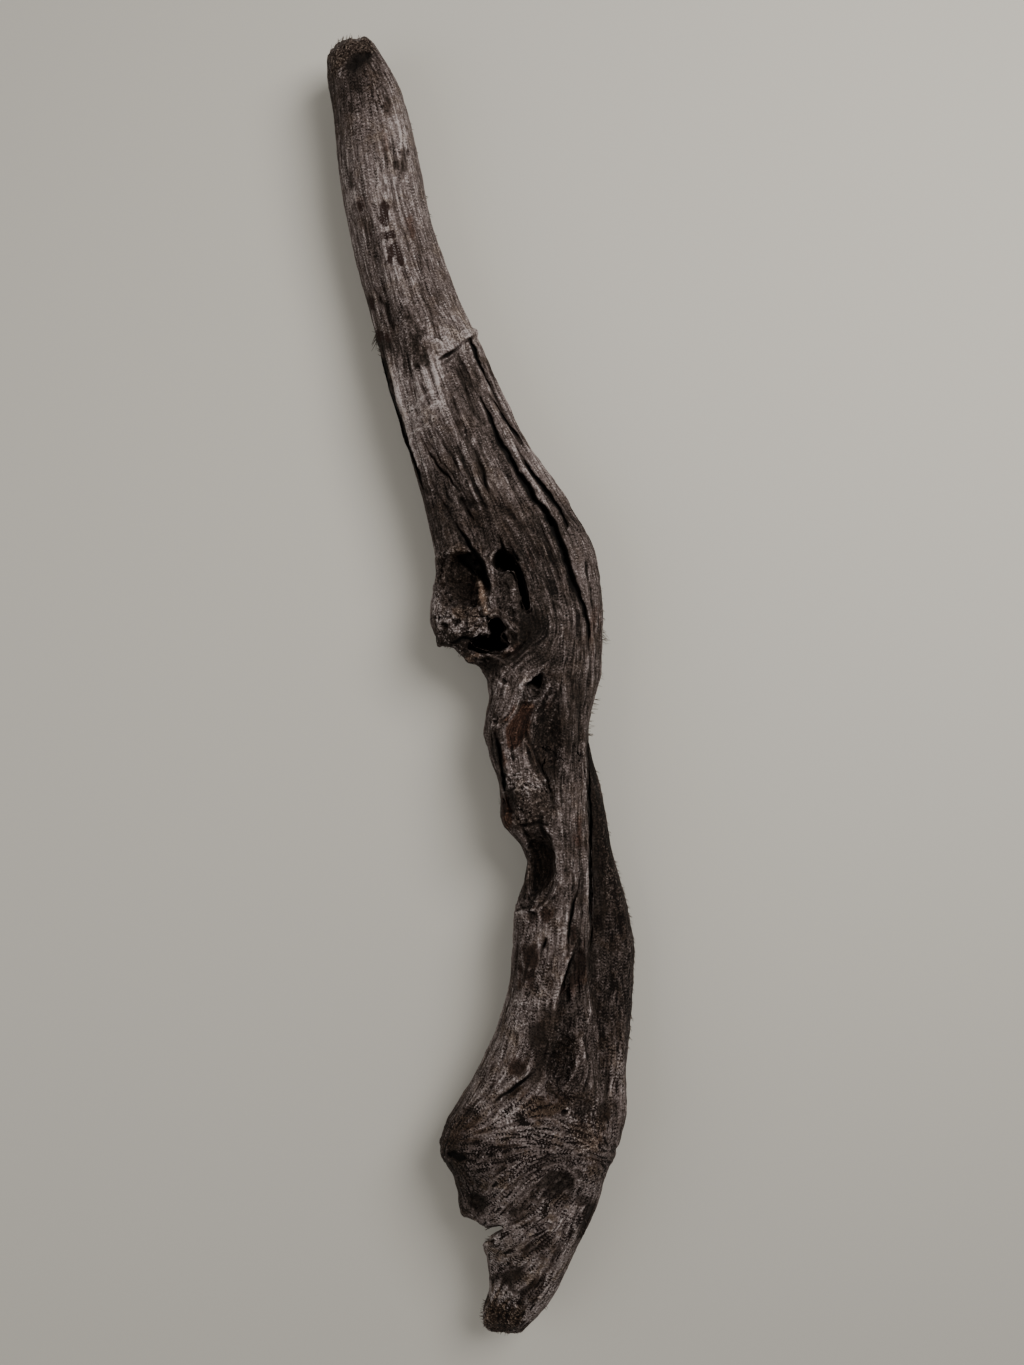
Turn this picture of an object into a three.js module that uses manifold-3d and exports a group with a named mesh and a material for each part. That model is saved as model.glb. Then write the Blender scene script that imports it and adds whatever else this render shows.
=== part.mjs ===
// A long weathered piece of driftwood lying on its back: a bent shaft that forks into a short
// hollow broken limb and a fluted stem, a second limb behind the stem, and a flared root that
// ends in a torn spike. Millimetres, +Z up, +Y from the spike towards the top of the shaft.
import * as THREE from "three";
import { LoftGeometry } from "three/addons/geometries/LoftGeometry.js";
import { mergeVertices } from "three/addons/utils/BufferGeometryUtils.js";
import Module from "manifold-3d";

const wasm = await Module();
wasm.setup();

// Driving sizes.
const TRUNK_FACETS = 30; // points round a section of the trunk
const LIMB_FACETS = 18; // points round a section of the back limb
const SECTION_STEP = 16; // the most that two sections may lie apart
const SQUARENESS = 0.86; // 1 gives elliptical sections, less gives fuller shoulders
const SAW_GAP = 0.4; // between two pieces that meet at a fork
const ABOVE = 180; // higher than any point of the wood
const BELOW = -40; // lower than any point of the wood

// Each rib crosses the trunk from its left to its right edge, as seen from above:
// left x, left y, right x, right y, height of the edges, height of the front, height of the back.
const TRUNK_RIBS = [
  [-141, 640, -120, 650, 52, 64, 40],
  [-153, 627, -103, 636, 50, 78, 24],
  [-153, 611, -90, 613, 49, 84, 17],
  [-149, 586, -77, 586, 48, 87, 12],
  [-145, 547, -68, 551, 47, 88, 8],
  [-141, 505, -59, 509, 46, 88, 5],
  [-133, 461, -51, 469, 45, 87, 1],
  [-123, 417, -38, 429, 44, 87, -2],
  [-112, 379, -23, 389, 44, 88, -4],
  [-105, 351, -10, 359, 45, 91, -4],
  [-99, 327, 2, 335, 46, 91, -1],
  [-91, 297, 15, 305, 48, 93, 3],
  [-82, 267, 31, 269, 50, 95, 6],
  [-72, 237, 49, 235, 51, 97, 6],
  [-63, 207, 72, 205, 51, 98, 4],
  [-55, 175, 93, 175, 51, 99, 1],
  [-48, 147, 110, 145, 51, 100, -2],
  [-44, 119, 118, 117, 51, 100, -4],
  [-48, 89, 121, 87, 51, 100, -4],
  [-50, 65, 121, 61, 52, 100, -2],
  [-45, 46, 120, 39, 52, 99, 2],
  [-32, 39, 119, 23, 53, 98, 5],
  [-18, 30, 117, 10, 54, 97, 8],
  [-3, 21, 114, -3, 54, 96, 10],
  [7, 7, 110, -17, 55, 96, 11],
  [10, -9, 107, -31, 56, 96, 12],
  [5, -27, 105, -43, 57, 96, 12],
  [3, -47, 104, -57, 58, 95, 12],
  [7, -69, 105, -79, 58, 95, 13],
  [16, -91, 106, -101, 58, 95, 14],
  [20, -113, 107, -121, 58, 95, 15],
  [20, -129, 107, -137, 58, 95, 15],
  [28, -143, 108, -153, 59, 94, 15],
  [40, -155, 109, -169, 60, 94, 14],
  [48, -173, 109, -189, 60, 94, 13],
  [44, -195, 109, -209, 60, 94, 12],
  [35, -221, 108, -231, 59, 95, 11],
  [33, -253, 107, -257, 58, 97, 10],
  [31, -289, 106, -289, 57, 99, 9],
  [24, -321, 108, -319, 56, 101, 7],
  [13, -351, 113, -347, 55, 103, 4],
  [-3, -383, 123, -375, 54, 105, 1],
  [-20, -413, 134, -403, 53, 107, -3],
  [-36, -439, 142, -429, 52, 108, -5],
  [-41, -457, 138, -449, 52, 108, -5],
  [-29, -475, 129, -471, 52, 106, -4],
  [-22, -497, 121, -493, 52, 102, -1],
  [-20, -519, 114, -515, 52, 97, 4],
  [-14, -535, 106, -533, 52, 93, 9],
  [1, -550, 97, -551, 52, 89, 14],
  [7, -564, 89, -569, 52, 84, 18],
  [10, -587, 78, -593, 51, 79, 22],
  [9, -607, 67, -612, 50, 74, 26],
  [3, -623, 55, -627, 49, 69, 30],
  [2, -638, 40, -642, 48, 63, 34],
  [8, -650, 25, -649, 47, 55, 40],
];

// The back limb lies behind and to the right of the stem, and joins the flare below.
const BACK_LIMB_RIBS = [
  [84, -40, 105, -46, 40, 52, 30],
  [80, -60, 112, -74, 38, 56, 18],
  [78, -90, 119, -104, 36, 58, 8],
  [76, -118, 126, -132, 35, 58, 2],
  [74, -146, 129, -158, 35, 58, -1],
  [72, -174, 137, -186, 35, 58, -3],
  [70, -204, 145, -214, 35, 58, -4],
  [68, -238, 153, -250, 35, 59, -4],
  [66, -270, 154, -278, 36, 61, -4],
  [64, -306, 152, -308, 38, 66, -3],
  [62, -344, 149, -344, 41, 74, -2],
  [60, -384, 145, -382, 44, 84, -2],
  [60, -420, 146, -420, 46, 90, -2],
  [62, -450, 138, -448, 46, 88, 0],
];

// Broad swells (and hollows, where rise is negative) of the front, along a path seen from above.
const FRONT_SWELLS = [
  { path: [[-7, 170], [4, 127], [10, 87], [8, 47], [3, 19]], reach: 26, rise: -12 },
  { path: [[-45, 333], [-15, 353], [-3, 358]], reach: 15, rise: 6 },
  { path: [[95, 70], [92, -20], [88, -110], [85, -210], [76, -270], [60, -325]], reach: 26, rise: 7 },
  { path: [[64, -8], [61, -53], [67, -93]], reach: 17, rise: -6 },
  { path: [[22, 6], [12, -38], [18, -73], [27, -100]], reach: 11, rise: 5 },
  { path: [[42, -18], [39, -63]], reach: 10, rise: -5 },
  { path: [[42, -100], [44, -122]], reach: 27, rise: 12 },
  { path: [[-18, -438], [10, -450]], reach: 44, rise: 6 },
  { path: [[78, -490], [84, -498]], reach: 22, rise: -8 },
  { path: [[96, -505], [70, -560], [52, -600]], reach: 20, rise: 5 },
  { path: [[-6, -505], [-3, -515]], reach: 13, rise: -9 },
];

// Flutes run the whole length: how many fit round the wood, how high, how they twist, where they start.
const FLUTES = [
  { count: 3, height: 1.9, twist: 0.0045, start: 0.6 },
  { count: 5, height: 1.5, twist: -0.0065, start: 2.1 },
  { count: 8, height: 0.9, twist: 0.008, start: 4.0 },
];

// Scoops are rotten pockets and knots: centre, half sizes, turn in the plan and lean in degrees.
const SCOOPS = [
  { at: [-19, 100, 90], half: [19, 33, 20], turn: 4, lean: 0 }, // hollow of the broken limb
  { at: [24, 121, 92], half: [13, 13, 32], turn: 20, lean: 0 }, // head of the deep slot beside it
  { at: [41, 95, 92], half: [6, 28, 36], turn: 14, lean: 0 }, // the slot's narrow right side
  { at: [16, 58, 86], half: [9, 11, 36], turn: 0, lean: 0 }, // mouth of the cavern in the crotch
  { at: [9, 42, 84], half: [20, 9, 34], turn: -8, lean: 0 }, // the cavern itself
  { at: [54, 4, 97], half: [10, 13, 24], turn: -12, lean: -25 }, // knot hole
  { at: [55, -176, 92], half: [21, 30, 24], turn: -6, lean: 0 }, // recess under the burl
  { at: [79, -360, 104], half: [16, 34, 16], turn: -18, lean: 0 }, // arch between the strands
  { at: [84, -284, 101], half: [6, 40, 12], turn: -12, lean: 0 }, // narrow head of the arch
  { at: [20, 250, 2], half: [20, 70, 14], turn: 28, lean: 0 }, // hollow of the back, upper half
  { at: [52, -120, 10], half: [22, 80, 16], turn: -4, lean: 0 }, // hollow of the back, at the waist
];

// Splits are drying cracks: a path seen from above, its width and the height of its bottom.
const SPLITS = [
  {
    path: [
      [1, 276], [16, 243], [32, 214], [50, 183], [62, 167],
      [73, 148], [82, 126], [89, 106], [96, 87], [103, 66],
    ],
    widths: [1.5, 3, 4.5, 5, 5.5, 5.5, 5, 4, 3, 1.5],
    bottoms: [88, 82, 74, 70, 66, 64, 62, 62, 62, 66],
  },
  {
    path: [[28, 240], [40, 218], [50, 204], [57, 196], [67, 182], [77, 169], [83, 154]],
    widths: [1.2, 2.5, 3.5, 4, 4, 3, 1.5],
    bottoms: [86, 78, 72, 70, 70, 72, 78],
  },
  {
    path: [[-57, 241], [-47, 222], [-38, 211], [-28, 200], [-20, 189], [-10, 167]],
    widths: [1.5, 3, 3.5, 3.5, 3, 1.5],
    bottoms: [86, 83, 82, 83, 86, 90],
  },
  {
    path: [[98, -178], [91, -208], [85, -228], [83, -250], [82, -272], [77, -295], [73, -317]],
    widths: [1.5, 3.5, 4, 4, 4, 3, 1.5],
    bottoms: [88, 84, 82, 82, 84, 88, 92],
  },
];

// The jagged notch above the spike, as seen from above at half its height. It slants as it goes down.
const NOTCH_SLANT = 0.53;
const NOTCH_MIDDLE = 50;
const NOTCH = [
  [-60, -528], [-16, -528], [-2, -533], [4, -539], [19, -539],
  [18, -545], [11, -548], [4, -557], [-60, -557],
];

// The broken ends are sawn off by tilted planes: a point on the plane and the way it faces.
const TOP_BREAK = { at: [-134, 634, 66], facing: [-0.46, 0.66, 0.6] };
const TIP_BREAK = { at: [14, -634, 58], facing: [-0.15, -0.7, 0.7] };

// The forks, as seen from above. Each region holds one piece and ends outside the wood.
const LIMB_REGION = [
  [-120, 180], [-57, 180], [-34, 157], [-11, 131], [7, 97],
  [10, 69], [11, 40], [8, 18], [0, -10], [-120, -10],
];
const BACK_LIMB_REGION = [
  [101, -20], [106, -105], [109, -165], [109, -215], [107, -250], [104, -285],
  [104, -315], [100, -343], [94, -373], [85, -401], [85, -440], [220, -440], [220, -20],
];
const ROOT_REGION = [[-120, -428], [-40, -428], [84, -402], [220, -412], [220, -720], [-120, -720]];

// A closed three.js geometry as a solid that can be joined and cut.
function solid(geometry) {
  const bare = new THREE.BufferGeometry();
  bare.setAttribute("position", geometry.attributes.position);
  bare.setIndex(geometry.index);
  const merged = mergeVertices(bare, 1e-3);
  return new wasm.Manifold(
    new wasm.Mesh({
      numProp: 3,
      vertProperties: new Float32Array(merged.attributes.position.array),
      triVerts: new Uint32Array(merged.index.array),
    }),
  );
}

// Distance from a point to a path, both seen from above.
function distanceToPath(x, y, path) {
  const point = new THREE.Vector3(x, y, 0);
  const nearest = new THREE.Vector3();
  let least = Infinity;
  for (let i = 1; i < path.length; i++) {
    const stretch = new THREE.Line3(
      new THREE.Vector3(...path[i - 1], 0),
      new THREE.Vector3(...path[i], 0),
    );
    stretch.closestPointToPoint(point, true, nearest);
    least = Math.min(least, nearest.distanceTo(point));
  }
  return least;
}

// How far the swells lift the front at a point.
function frontLift(x, y) {
  return FRONT_SWELLS.reduce((lift, { path, reach, rise }) => {
    const share = Math.max(0, 1 - (distanceToPath(x, y, path) / reach) ** 2);
    return lift + rise * share * share;
  }, 0);
}

// How far the flutes lift the surface at an angle round the wood and a place along it.
function fluteLift(angle, y) {
  return FLUTES.reduce(
    (lift, { count, height, twist, start }) => lift + height * Math.sin(count * angle + twist * y + start),
    0,
  );
}

// Where the sections stand: at every rib, and evenly between two ribs that are far apart.
function places(ribs) {
  const found = [0];
  for (let i = 1; i < ribs.length; i++) {
    const middle = (r) => new THREE.Vector2(r[0] + r[2], r[1] + r[3]).divideScalar(2);
    const [from, to] = [ribs[i - 1], ribs[i]].map(middle);
    const count = Math.max(1, Math.round(from.distanceTo(to) / SECTION_STEP));
    for (let step = 1; step <= count; step++) found.push((i - 1 + step / count) / (ribs.length - 1));
  }
  return found;
}

// A limb is lofted through sections that stand on smooth edges drawn through its ribs.
function limb(ribs, facets, swells) {
  const curve = (pointOf) => new THREE.CatmullRomCurve3(ribs.map(pointOf), false, "catmullrom");
  const leftEdge = curve((r) => new THREE.Vector3(r[0], r[1], r[4]));
  const rightEdge = curve((r) => new THREE.Vector3(r[2], r[3], r[4]));
  const heights = curve((r) => new THREE.Vector3(r[5], r[6], 0));
  const sections = places(ribs).map((place) => {
    const { x: front, y: back } = heights.getPoint(place);
    return section(leftEdge.getPoint(place), rightEdge.getPoint(place), front, back, facets, swells);
  });
  return solid(new LoftGeometry(sections, { capStart: true, capEnd: true }));
}

// One section: its angle runs from the right edge over the front to the left edge and back below.
function section(left, right, front, back, facets, swells) {
  const middle = left.clone().add(right).multiplyScalar(0.5);
  const half = right.clone().sub(left).multiplyScalar(0.5);
  const slim = Math.min(1, half.length() / 40);
  const points = [];
  for (let j = 0; j < facets; j++) {
    const angle = (j / facets) * 2 * Math.PI;
    const across = Math.sign(Math.cos(angle)) * Math.abs(Math.cos(angle)) ** SQUARENESS;
    const up = Math.abs(Math.sin(angle)) ** SQUARENESS;
    const height = Math.sin(angle) > 0 ? front - middle.z : back - middle.z;
    const flute = 1 + (fluteLift(angle, middle.y) * slim * up) / half.length();
    const point = middle.clone().addScaledVector(half, across * flute);
    point.z += height * up * flute;
    if (swells && Math.sin(angle) > 0) point.z += frontLift(point.x, point.y) * Math.sin(angle);
    points.push(point);
  }
  return points;
}

// A rounded scoop to cut away.
function scoop({ at, half, turn, lean }) {
  const place = new THREE.Matrix4().compose(
    new THREE.Vector3(...at),
    new THREE.Quaternion().setFromEuler(
      new THREE.Euler(THREE.MathUtils.degToRad(lean), 0, THREE.MathUtils.degToRad(turn), "ZXY"),
    ),
    new THREE.Vector3(...half),
  );
  return solid(new THREE.IcosahedronGeometry(1, 2).applyMatrix4(place));
}

// A split to cut away: straight walls above the surface, closing to an edge at the bottom.
function split({ path, widths, bottoms }) {
  const line = new THREE.CatmullRomCurve3(path.map((p) => new THREE.Vector3(...p, 0)));
  const sections = path.map(([x, y], i) => {
    const along = line.getTangent(i / (path.length - 1));
    const side = new THREE.Vector3(along.y, -along.x, 0).multiplyScalar(widths[i] / 2);
    const corner = (share, z) => new THREE.Vector3(x, y, z).addScaledVector(side, share);
    const mouth = bottoms[i] + 2.4 * widths[i];
    const tip = corner(0, bottoms[i]);
    return [tip, corner(-1, mouth), corner(-1, ABOVE), corner(1, ABOVE), corner(1, mouth)];
  });
  return solid(new LoftGeometry(sections, { capStart: true, capEnd: true }));
}

// Everything on the outer side of a plane, as a large block to cut away.
function beyondPlane({ at, facing }) {
  const size = 160;
  const block = new THREE.BoxGeometry(size, size, size).translate(0, 0, size / 2);
  const turn = new THREE.Quaternion().setFromUnitVectors(
    new THREE.Vector3(0, 0, 1),
    new THREE.Vector3(...facing).normalize(),
  );
  return solid(block.applyQuaternion(turn).translate(...at));
}

// An upright block over a region seen from above.
function columnGeometry(region) {
  const outline = new THREE.Shape(region.map(([x, y]) => new THREE.Vector2(x, y)));
  const block = new THREE.ExtrudeGeometry(outline, { depth: ABOVE - BELOW, bevelEnabled: false });
  return block.translate(0, 0, BELOW);
}

function column(region) {
  return solid(columnGeometry(region));
}

function notch() {
  const slant = new THREE.Matrix4().makeShear(0, 0, 0, 0, 0, NOTCH_SLANT);
  return solid(columnGeometry(NOTCH).applyMatrix4(slant).translate(0, -NOTCH_SLANT * NOTCH_MIDDLE, 0));
}

// The whole piece of wood before it is parted at its forks, worn flat where it lies on the ground.
function wholeWood() {
  let wood = limb(TRUNK_RIBS, TRUNK_FACETS, true).add(limb(BACK_LIMB_RIBS, LIMB_FACETS, false));
  for (const cut of [...SCOOPS.map(scoop), ...SPLITS.map(split)]) wood = wood.subtract(cut);
  wood = wood.subtract(beyondPlane(TOP_BREAK)).subtract(beyondPlane(TIP_BREAK)).subtract(notch());
  const ground = new THREE.BoxGeometry(900, 1800, -BELOW).translate(0, 0, BELOW / 2);
  return wood.subtract(solid(ground));
}

// The largest body of a solid, without the crumbs that a cut can leave beside it.
function largest(pieces) {
  return pieces.decompose().reduce((a, b) => (a.volume() > b.volume() ? a : b));
}

function mesh(name, piece, colour) {
  const { numProp, vertProperties, triVerts } = piece.getMesh();
  const positions = new Float32Array((vertProperties.length / numProp) * 3);
  for (let i = 0; i < positions.length / 3; i++)
    positions.set(vertProperties.subarray(i * numProp, i * numProp + 3), i * 3);
  const geometry = new THREE.BufferGeometry();
  geometry.setAttribute("position", new THREE.BufferAttribute(positions, 3));
  geometry.setIndex(new THREE.BufferAttribute(triVerts, 1));
  geometry.computeVertexNormals();
  const made = new THREE.Mesh(
    geometry,
    new THREE.MeshStandardMaterial({ color: colour, roughness: 0.85, metalness: 0 }),
  );
  made.name = name;
  return made;
}

const wood = wholeWood();
const limbColumn = column(LIMB_REGION);
const backColumn = column(BACK_LIMB_REGION);
const rootColumn = column(ROOT_REGION);

const rootFlare = largest(wood.intersect(rootColumn));
const aboveRoot = wood.subtract(rootColumn.translate(0, SAW_GAP, 0));
const brokenLimb = largest(aboveRoot.intersect(limbColumn));
const backLimb = largest(aboveRoot.intersect(backColumn));
const mainStem = largest(
  aboveRoot.subtract(limbColumn.translate(SAW_GAP, 0, 0)).subtract(backColumn.translate(-SAW_GAP, 0, 0)),
);

const driftwood = new THREE.Group();
driftwood.add(
  mesh("main_stem", mainStem, 0x6a605c),
  mesh("broken_limb", brokenLimb, 0x4a3f38),
  mesh("back_limb", backLimb, 0x453d38),
  mesh("root_flare", rootFlare, 0x5f5551),
);
export default driftwood;
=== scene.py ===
"""The looks of a long weathered piece of driftwood that lies on its back on a pale floor.

The wood is one grown piece, so its four parts are carved together as one fine surface and then
parted at the forks, where the grain runs on from one to the next. Every crack, hollow, ridge and
stain that shows has a place of its own in the plan, and the grain between them is combed along
the listed flow lines.
"""

import logging
import math
import random
from dataclasses import dataclass, field
from enum import Enum
from typing import Optional, Sequence, Union

import bmesh
import bpy
import numpy as np
from mathutils import Matrix, Vector


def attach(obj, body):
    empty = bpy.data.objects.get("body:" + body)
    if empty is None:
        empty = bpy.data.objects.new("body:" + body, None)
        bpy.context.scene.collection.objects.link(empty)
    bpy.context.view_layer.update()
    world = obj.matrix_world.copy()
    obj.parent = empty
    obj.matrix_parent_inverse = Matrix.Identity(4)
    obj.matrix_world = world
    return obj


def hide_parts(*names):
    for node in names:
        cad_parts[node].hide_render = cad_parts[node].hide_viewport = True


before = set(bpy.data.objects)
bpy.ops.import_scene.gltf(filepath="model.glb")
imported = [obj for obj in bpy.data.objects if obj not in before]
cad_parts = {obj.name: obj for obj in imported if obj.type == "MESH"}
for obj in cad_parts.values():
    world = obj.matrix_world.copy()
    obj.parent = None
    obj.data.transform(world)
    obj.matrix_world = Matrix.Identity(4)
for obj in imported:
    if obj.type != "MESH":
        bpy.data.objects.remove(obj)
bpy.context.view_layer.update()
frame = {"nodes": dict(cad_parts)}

LOG = logging.getLogger("driftwood")
BODY = "root"

MM = 0.001
FAR = 1e9
Path = Sequence[tuple[float, ...]]
Colour = tuple[float, float, float, float]


def smooth_step(low: float, high: float, value: np.ndarray) -> np.ndarray:
    """Rises smoothly from 0 at low to 1 at high.

    Args:
        low: Where the rise starts. It may be above high, and then the step falls.
        high: Where the rise ends.
        value: The values to place on the step.

    Returns:
        One share from 0 to 1 for each value.
    """
    share = np.clip((value - low) / (high - low), 0.0, 1.0)
    return share * share * (3.0 - 2.0 * share)


def read(items: bpy.types.bpy_prop_collection, name: str, kind: type, width: int) -> np.ndarray:
    """Reads one property of a mesh's items into an array.

    Args:
        items: The items, such as the mesh's vertices.
        name: The property.
        kind: The type of its numbers.
        width: How many numbers each item has.

    Returns:
        One row for each item.
    """
    flat = np.empty(len(items) * width, kind)
    items.foreach_get(name, flat)
    return flat.reshape(-1, width)


def triangles(mesh: bpy.types.Mesh) -> int:
    """How many triangles a mesh comes to."""
    return len(mesh.loops) - 2 * len(mesh.polygons)


def linked(name: str, data: bpy.types.ID) -> bpy.types.Object:
    """Makes an object and links it to the scene.

    Args:
        name: The object's name.
        data: Its mesh, light or camera.

    Returns:
        The object.
    """
    made = bpy.data.objects.new(name, data)
    bpy.context.scene.collection.objects.link(made)
    return made


@dataclass(frozen=True)
class Plan:
    """The view from above in which places are given: x to the right and y down, in plan units.

    At the height of the wood's outline one plan unit is one millimetre of wood.
    """

    eye: tuple[float, float, float] = (31.0, 4.5, 1075.0)
    centre: tuple[float, float] = (512.0, 682.5)
    reach: float = 1025.0

    def of(self, points: np.ndarray) -> tuple[np.ndarray, np.ndarray]:
        """Where points in the wood's own millimetres lie in the plan.

        Args:
            points: An array of x, y, z rows.

        Returns:
            The x and the y of each point in the plan.
        """
        scale = self.reach / (self.eye[2] - points[:, 2])
        x = self.centre[0] + (points[:, 0] - self.eye[0]) * scale
        y = self.centre[1] - (points[:, 1] - self.eye[1]) * scale
        return x, y


PLAN = Plan()


class Noise:
    """Smooth seeded noise in space, from -1 to 1."""

    CELLS = 64

    def __init__(self, seed: int) -> None:
        """Draws the lattice of random values.

        Args:
            seed: The seed of the random draw.
        """
        shape = (self.CELLS,) * 3
        self.values = np.random.default_rng(seed).uniform(-1.0, 1.0, shape).astype(np.float32).ravel()

    def at(self, points: np.ndarray, wavelength: float) -> np.ndarray:
        """The noise at each point.

        Args:
            points: An array of x, y, z rows.
            wavelength: The size of one cell of the noise, in the points' own unit.

        Returns:
            One value for each point.
        """
        place = points / wavelength
        cell = np.floor(place)
        share = (place - cell).astype(np.float32)
        share = share * share * (3.0 - 2.0 * share)
        low = cell.astype(np.int64) & (self.CELLS - 1)
        high = (low + 1) & (self.CELLS - 1)
        x0, x1 = low[:, 0] * self.CELLS**2, high[:, 0] * self.CELLS**2
        y0, y1 = low[:, 1] * self.CELLS, high[:, 1] * self.CELLS
        z0, z1 = low[:, 2], high[:, 2]
        sx, sy, sz = share[:, 0], share[:, 1], share[:, 2]
        values = self.values

        def row(x: np.ndarray, y: np.ndarray) -> np.ndarray:
            """The values along z above one corner of the cell.

            Args:
                x: The corner's place along x.
                y: The corner's place along y.

            Returns:
                One value for each point.
            """
            corner = x + y
            near = values[corner + z0]
            return near + (values[corner + z1] - near) * sz

        front = row(x0, y0)
        front += (row(x1, y0) - front) * sx
        back = row(x0, y1)
        back += (row(x1, y1) - back) * sx
        return front + (back - front) * sy


@dataclass(frozen=True)
class Strand:
    """How noise is drawn out along the grain: its width and length in millimetres, and the steps taken."""

    width: float
    reach: float
    steps: int


class Side(Enum):
    """Which side of the wood a mark lies on."""

    FRONT = "front"
    BACK = "back"


def points_of(trail: str) -> Path:
    """Reads a trail of points, such as "328,62 333,110".

    Args:
        trail: The points, parted by spaces. A point's values, parted by commas, are its x, its y
            and any others.

    Returns:
        One row of numbers for each point.
    """
    return tuple(tuple(float(value) for value in point.split(",")) for point in trail.split())


class Mark:
    """A mark on the wood that follows a trail of points in the plan."""

    trail: str

    @property
    def path(self) -> Path:
        """The trail's points as numbers."""
        return points_of(self.trail)


@dataclass(frozen=True)
class Line(Mark):
    """A crack, groove or ridge along a trail of points, each with its x, y, width and depth.

    A depth below zero is a ridge, and pale says how much lighter its crest is; on some ridges that
    pale crest is a painted highlight. The lip is how far the wood rises beside a crack.
    """

    name: str
    trail: str
    lip: float = 0.0
    pale: float = 0.5
    side: Side = Side.FRONT


@dataclass(frozen=True)
class Hollow(Mark):
    """A rotten hollow inside an outline, with walls of some width, or a lump if depth is below zero.

    The shade says how dark it is inside, and rough how crumbly.
    """

    name: str
    trail: str
    depth: float
    wall: float
    shade: float = 0.0
    rough: float = 1.0
    side: Side = Side.FRONT


@dataclass(frozen=True)
class Pit:
    """A small round pit or knot: its centre, radii, depth, turn in degrees, rim and shade."""

    name: str
    at: tuple[float, float]
    radii: tuple[float, float]
    depth: float
    turn: float = 0.0
    rim: float = 0.0
    shade: float = 0.0
    side: Side = Side.FRONT


@dataclass(frozen=True)
class Patch(Mark):
    """What a stretch inside an outline adds to a mask, how soft its edge is and how ragged."""

    amount: float
    soft: float
    ragged: float
    trail: str


@dataclass(frozen=True)
class Nudge:
    """A place where the outline is drawn aside: its middle, how far it moves and its reach."""

    name: str
    at: tuple[float, float]
    by: tuple[float, float]
    reach: float


@dataclass(frozen=True)
class Fringe(Mark):
    """Torn fibres along a trail, on one part's outline: how many, how long, and which way they point.

    The turn is in degrees, clockwise from the plan's x.
    """

    name: str
    node: str
    trail: str
    count: int
    length: float
    turn: float


# The grain's flow, as lines laid along the fibres.
FLOW_LINES: tuple[str, ...] = (
    "328,62 333,110 339,165 350,222 361,280 378,345 390,400 410,460 424,508 435,558 434,600 434,640",
    "352,60 362,120 374,180 388,240 404,300 422,360 440,420 461,480 478,530",
    "374,50 392,90 407,140 418,190 433,240 450,295 468,335 481,372 500,415 525,458 552,500 578,530 594,560 "
        "600,610 599,660 592,710",
    "477,392 488,414 507,453 521,480 549,517 563,552 579,592 587,623 587,660 580,720 578,800 580,880 "
        "580,950",
    "450,420 468,470 484,520 489,560 492,600 494,612",
    "478,430 500,480 520,520 538,560 552,600 562,640 568,700 566,780 566,850 560,920 553,980 544,1040 "
        "540,1070",
    "440,560 441,600 446,630 460,648 480,660",
    "480,575 484,600 478,620 462,640 450,645",
    "508,560 508,590 512,615 524,632",
    "562,632 556,647 547,660 532,669 523,678 519,690 519,702 514,714 503,722 490,724",
    "545,640 530,655 513,668 503,685 499,700 492,714",
    "524,648 510,658 498,670 493,685 490,700",
    "570,640 566,660 558,675 552,692 545,702 534,712 528,728 530,748 538,770 546,790 552,815 557,850 "
        "557,880",
    "488,715 487,735 489,752 496,772 501,795 502,815",
    "504,728 508,745 512,765 515,780",
    "528,702 519,715 514,735 512,750",
    "508,780 525,776 542,784 549,800 548,822",
    "512,832 522,845 530,865 531,890 525,920 520,960 515,1000 503,1035 490,1065 472,1095 452,1125",
    "540,835 546,860 545,885 540,905 536,940 533,985 528,1020 520,1048 507,1072 488,1098 466,1122 "
        "448,1140",
    "519,905 535,910 547,903 557,890",
    "575,950 569,990 563,1030 557,1060 552,1080",
    "587,950 590,990 588,1020 583,1050 577,1075 565,1092",
    "589,745 597,790 603,840 612,890 622,940 624,985 620,1040 616,1090 616,1130",
    "592,880 600,930 604,990 604,1050 602,1100 602,1130",
    "530,1075 520,1088 501,1100 482,1118 462,1130",
    "450,1150 480,1142 515,1132 550,1130 585,1142 602,1150",
    "446,1150 455,1175 461,1205",
    "470,1150 500,1150 530,1146 560,1146 590,1158",
    "484,1205 498,1192 510,1178 527,1164 548,1155 568,1155 584,1164 592,1180 590,1200 578,1228 562,1256 "
        "545,1285 528,1312",
    "505,1210 518,1192 532,1176 550,1166 567,1168 577,1182 574,1200 562,1220",
    "562,1200 545,1224 525,1246 505,1264 492,1278",
    "572,1206 552,1240 530,1268 511,1292 498,1315",
    "500,1245 492,1260 493,1285",
)

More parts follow.
